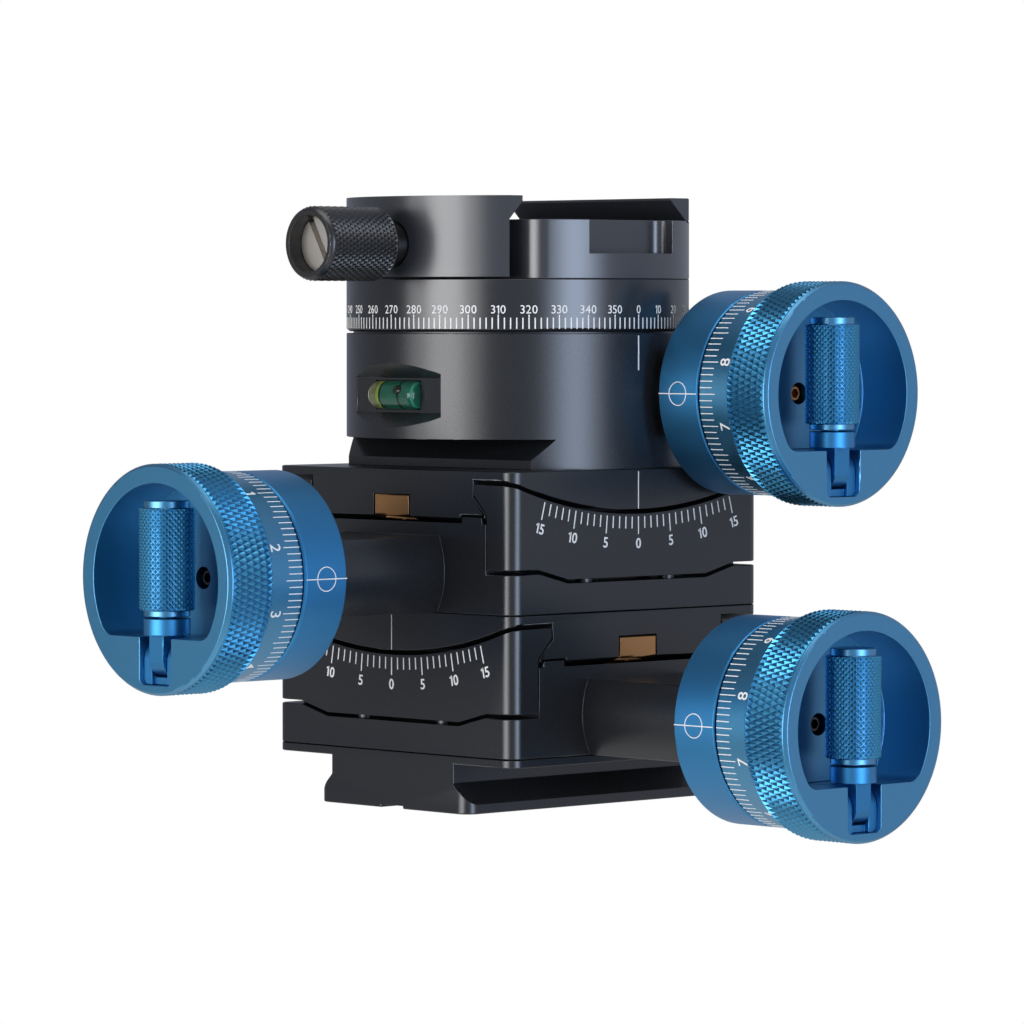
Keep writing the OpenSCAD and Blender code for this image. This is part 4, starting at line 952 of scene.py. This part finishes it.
# The surroundings: their plain strength, and the colour, mean strength and changes of strength
# to the right and downwards that metal and glass mirror.
PLAIN_STRENGTH = 0.33
MIRRORED_COLOUR = (0.68, 0.73, 0.88, 1)
MIRRORED_MEAN, MIRRORED_RIGHT, MIRRORED_DOWN = 0.43, 0.17, 0.1
FLOOR_SIZE, FLOOR_HEIGHT = 4, -0.6
FLOOR_COLOUR, FLOOR_ROUGHNESS = (0.9, 0.9, 0.9, 1), 0.9


def set_camera(scene):
    """Puts the camera in its place."""
    data = bpy.data.cameras.new("camera")
    data.sensor_width = SENSOR
    data.lens = LENS
    camera = bpy.data.objects.new("camera", data)
    camera.location = CAMERA_PLACE
    ahead = Vector((
        -math.sin(AZIMUTH) * math.cos(PITCH), math.cos(AZIMUTH) * math.cos(PITCH),
        -math.sin(PITCH)))
    camera.rotation_euler = ahead.to_track_quat("-Z", "Y").to_euler()
    bpy.context.collection.objects.link(camera)
    scene.camera = camera


def lamp(name, place, size, power, colour):
    """Adds a soft box that points at the heart of the object."""
    data = bpy.data.lights.new(name, "AREA")
    data.shape = "RECTANGLE"
    data.size, data.size_y = size
    data.energy = power
    data.color = colour
    obj = bpy.data.objects.new(name, data)
    obj.location = place
    obj.rotation_euler = (HEART - place).to_track_quat("-Z", "Y").to_euler()
    bpy.context.collection.objects.link(obj)


def studio_world(scene):
    """White to the camera. To metal and glass, bluish and uneven."""
    world = bpy.data.worlds.new("studio")
    scene.world = world
    world.use_nodes = True
    tree = world.node_tree
    tree.nodes.clear()
    white = (*WHITE, 1)
    right = Vector((-FACING.y, FACING.x, 0))
    out = node_of(tree, "ShaderNodeOutputWorld", (800, 0))
    path = node_of(tree, "ShaderNodeLightPath", (-400, 400))
    plain = node_of(
        tree, "ShaderNodeBackground", (0, 200), Color=white, Strength=PLAIN_STRENGTH)
    mirrored = node_of(tree, "ShaderNodeBackground", (0, 0), Color=MIRRORED_COLOUR)
    shown = node_of(tree, "ShaderNodeBackground", (300, -200), Color=white, Strength=1.0)
    bounced = node_of(tree, "ShaderNodeMath", (0, 400))
    bounced.operation = "MAXIMUM"
    where = node_of(tree, "ShaderNodeTexCoord", (-600, -100))
    along = node_of(tree, "ShaderNodeVectorMath", (-400, -100))
    along.operation = "DOT_PRODUCT"
    along.inputs[1].default_value = right * MIRRORED_RIGHT - Vector((0, 0, MIRRORED_DOWN))
    level = node_of(tree, "ShaderNodeMath", (-200, -100))
    level.inputs[1].default_value = MIRRORED_MEAN
    near = node_of(tree, "ShaderNodeMixShader", (300, 100))
    final = node_of(tree, "ShaderNodeMixShader", (600, 0))
    link = tree.links.new
    link(where.outputs["Generated"], along.inputs[0])
    link(along.outputs["Value"], level.inputs[0])
    link(level.outputs[0], mirrored.inputs["Strength"])
    link(path.outputs["Is Glossy Ray"], bounced.inputs[0])
    link(path.outputs["Is Transmission Ray"], bounced.inputs[1])
    link(bounced.outputs[0], near.inputs["Fac"])
    link(plain.outputs[0], near.inputs[1])
    link(mirrored.outputs[0], near.inputs[2])
    link(path.outputs["Is Camera Ray"], final.inputs["Fac"])
    link(near.outputs[0], final.inputs[1])
    link(shown.outputs[0], final.inputs[2])
    link(final.outputs[0], out.inputs["Surface"])


def white_floor():
    """Adds a floor below the object that the camera sees as plain white."""
    deselect()
    bpy.ops.mesh.primitive_plane_add(size=FLOOR_SIZE, location=(0, 0, FLOOR_HEIGHT))
    floor = bpy.context.object
    floor.name = "floor"
    material, tree, shader = principled("white_floor")
    set_inputs(shader, Base_Color=FLOOR_COLOUR, Roughness=FLOOR_ROUGHNESS)
    glow = node_of(tree, "ShaderNodeEmission", (0, -300), Strength=1.0)
    mix = node_of(tree, "ShaderNodeMixShader", (400, 0))
    path = node_of(tree, "ShaderNodeLightPath", (-300, 300))
    link = tree.links.new
    link(path.outputs["Is Camera Ray"], mix.inputs["Fac"])
    link(shader.outputs[0], mix.inputs[1])
    link(glow.outputs[0], mix.inputs[2])
    link(mix.outputs[0], tree.nodes["Material Output"].inputs["Surface"])
    floor.data.materials.append(material)


class HEAD_OT_stage(bpy.types.Operator):
    """Sets the camera, the lamps, the floor and the white surroundings"""

    bl_idname = "head.stage"
    bl_label = "Stage"

    def execute(self, context):
        scene = context.scene
        scene.view_settings.view_transform = "Standard"
        set_camera(scene)
        for name, (degrees, distance, size, power, colour) in SIDE_LAMPS.items():
            way = Matrix.Rotation(math.radians(degrees), 3, "Z") @ FACING
            lamp(name, HEART + way * distance, size, power, colour)
        lamp("top_box", HEART + TOP_OFFSET, TOP_SIZE, TOP_POWER, WHITE)
        studio_world(scene)
        white_floor()
        return {"FINISHED"}


class HEAD_PT_panel(bpy.types.Panel):
    """The sizes and colours, and the steps in the order in which they are taken"""

    bl_idname = "HEAD_PT_panel"
    bl_label = "Geared head"
    bl_space_type = "VIEW_3D"
    bl_region_type = "UI"
    bl_category = "Geared head"

    def draw(self, context):
        for group in (context.scene.head_sizes, context.scene.head_colours):
            for name in group.__annotations__:
                self.layout.prop(group, name)
        for step in STEPS:
            self.layout.operator(step.bl_idname)


STEPS = (
    HEAD_OT_finishes, HEAD_OT_bodies, HEAD_OT_knobs, HEAD_OT_thumb_knob, HEAD_OT_dials,
    HEAD_OT_pan_washer, HEAD_OT_pan_scale, HEAD_OT_tilt_scales, HEAD_OT_level, HEAD_OT_stage,
)
CLASSES = (HeadSizes, HeadColours, *STEPS, HEAD_PT_panel)


def register():
    """Makes the add-on's classes and settings known to Blender."""
    for cls in CLASSES:
        bpy.utils.register_class(cls)
    bpy.types.Scene.head_sizes = PointerProperty(type=HeadSizes)
    bpy.types.Scene.head_colours = PointerProperty(type=HeadColours)


def unregister():
    """Takes the add-on's settings and classes away again."""
    del bpy.types.Scene.head_colours
    del bpy.types.Scene.head_sizes
    for cls in reversed(CLASSES):
        bpy.utils.unregister_class(cls)


def main():
    """Dresses the model step by step."""
    register()
    bpy.ops.head.finishes()
    bpy.ops.head.bodies()
    bpy.ops.head.knobs()
    bpy.ops.head.thumb_knob()
    bpy.ops.head.dials()
    bpy.ops.head.pan_washer()
    bpy.ops.head.pan_scale()
    bpy.ops.head.tilt_scales()
    bpy.ops.head.level()
    bpy.ops.head.stage()


if __name__ == "__main__":
    main()
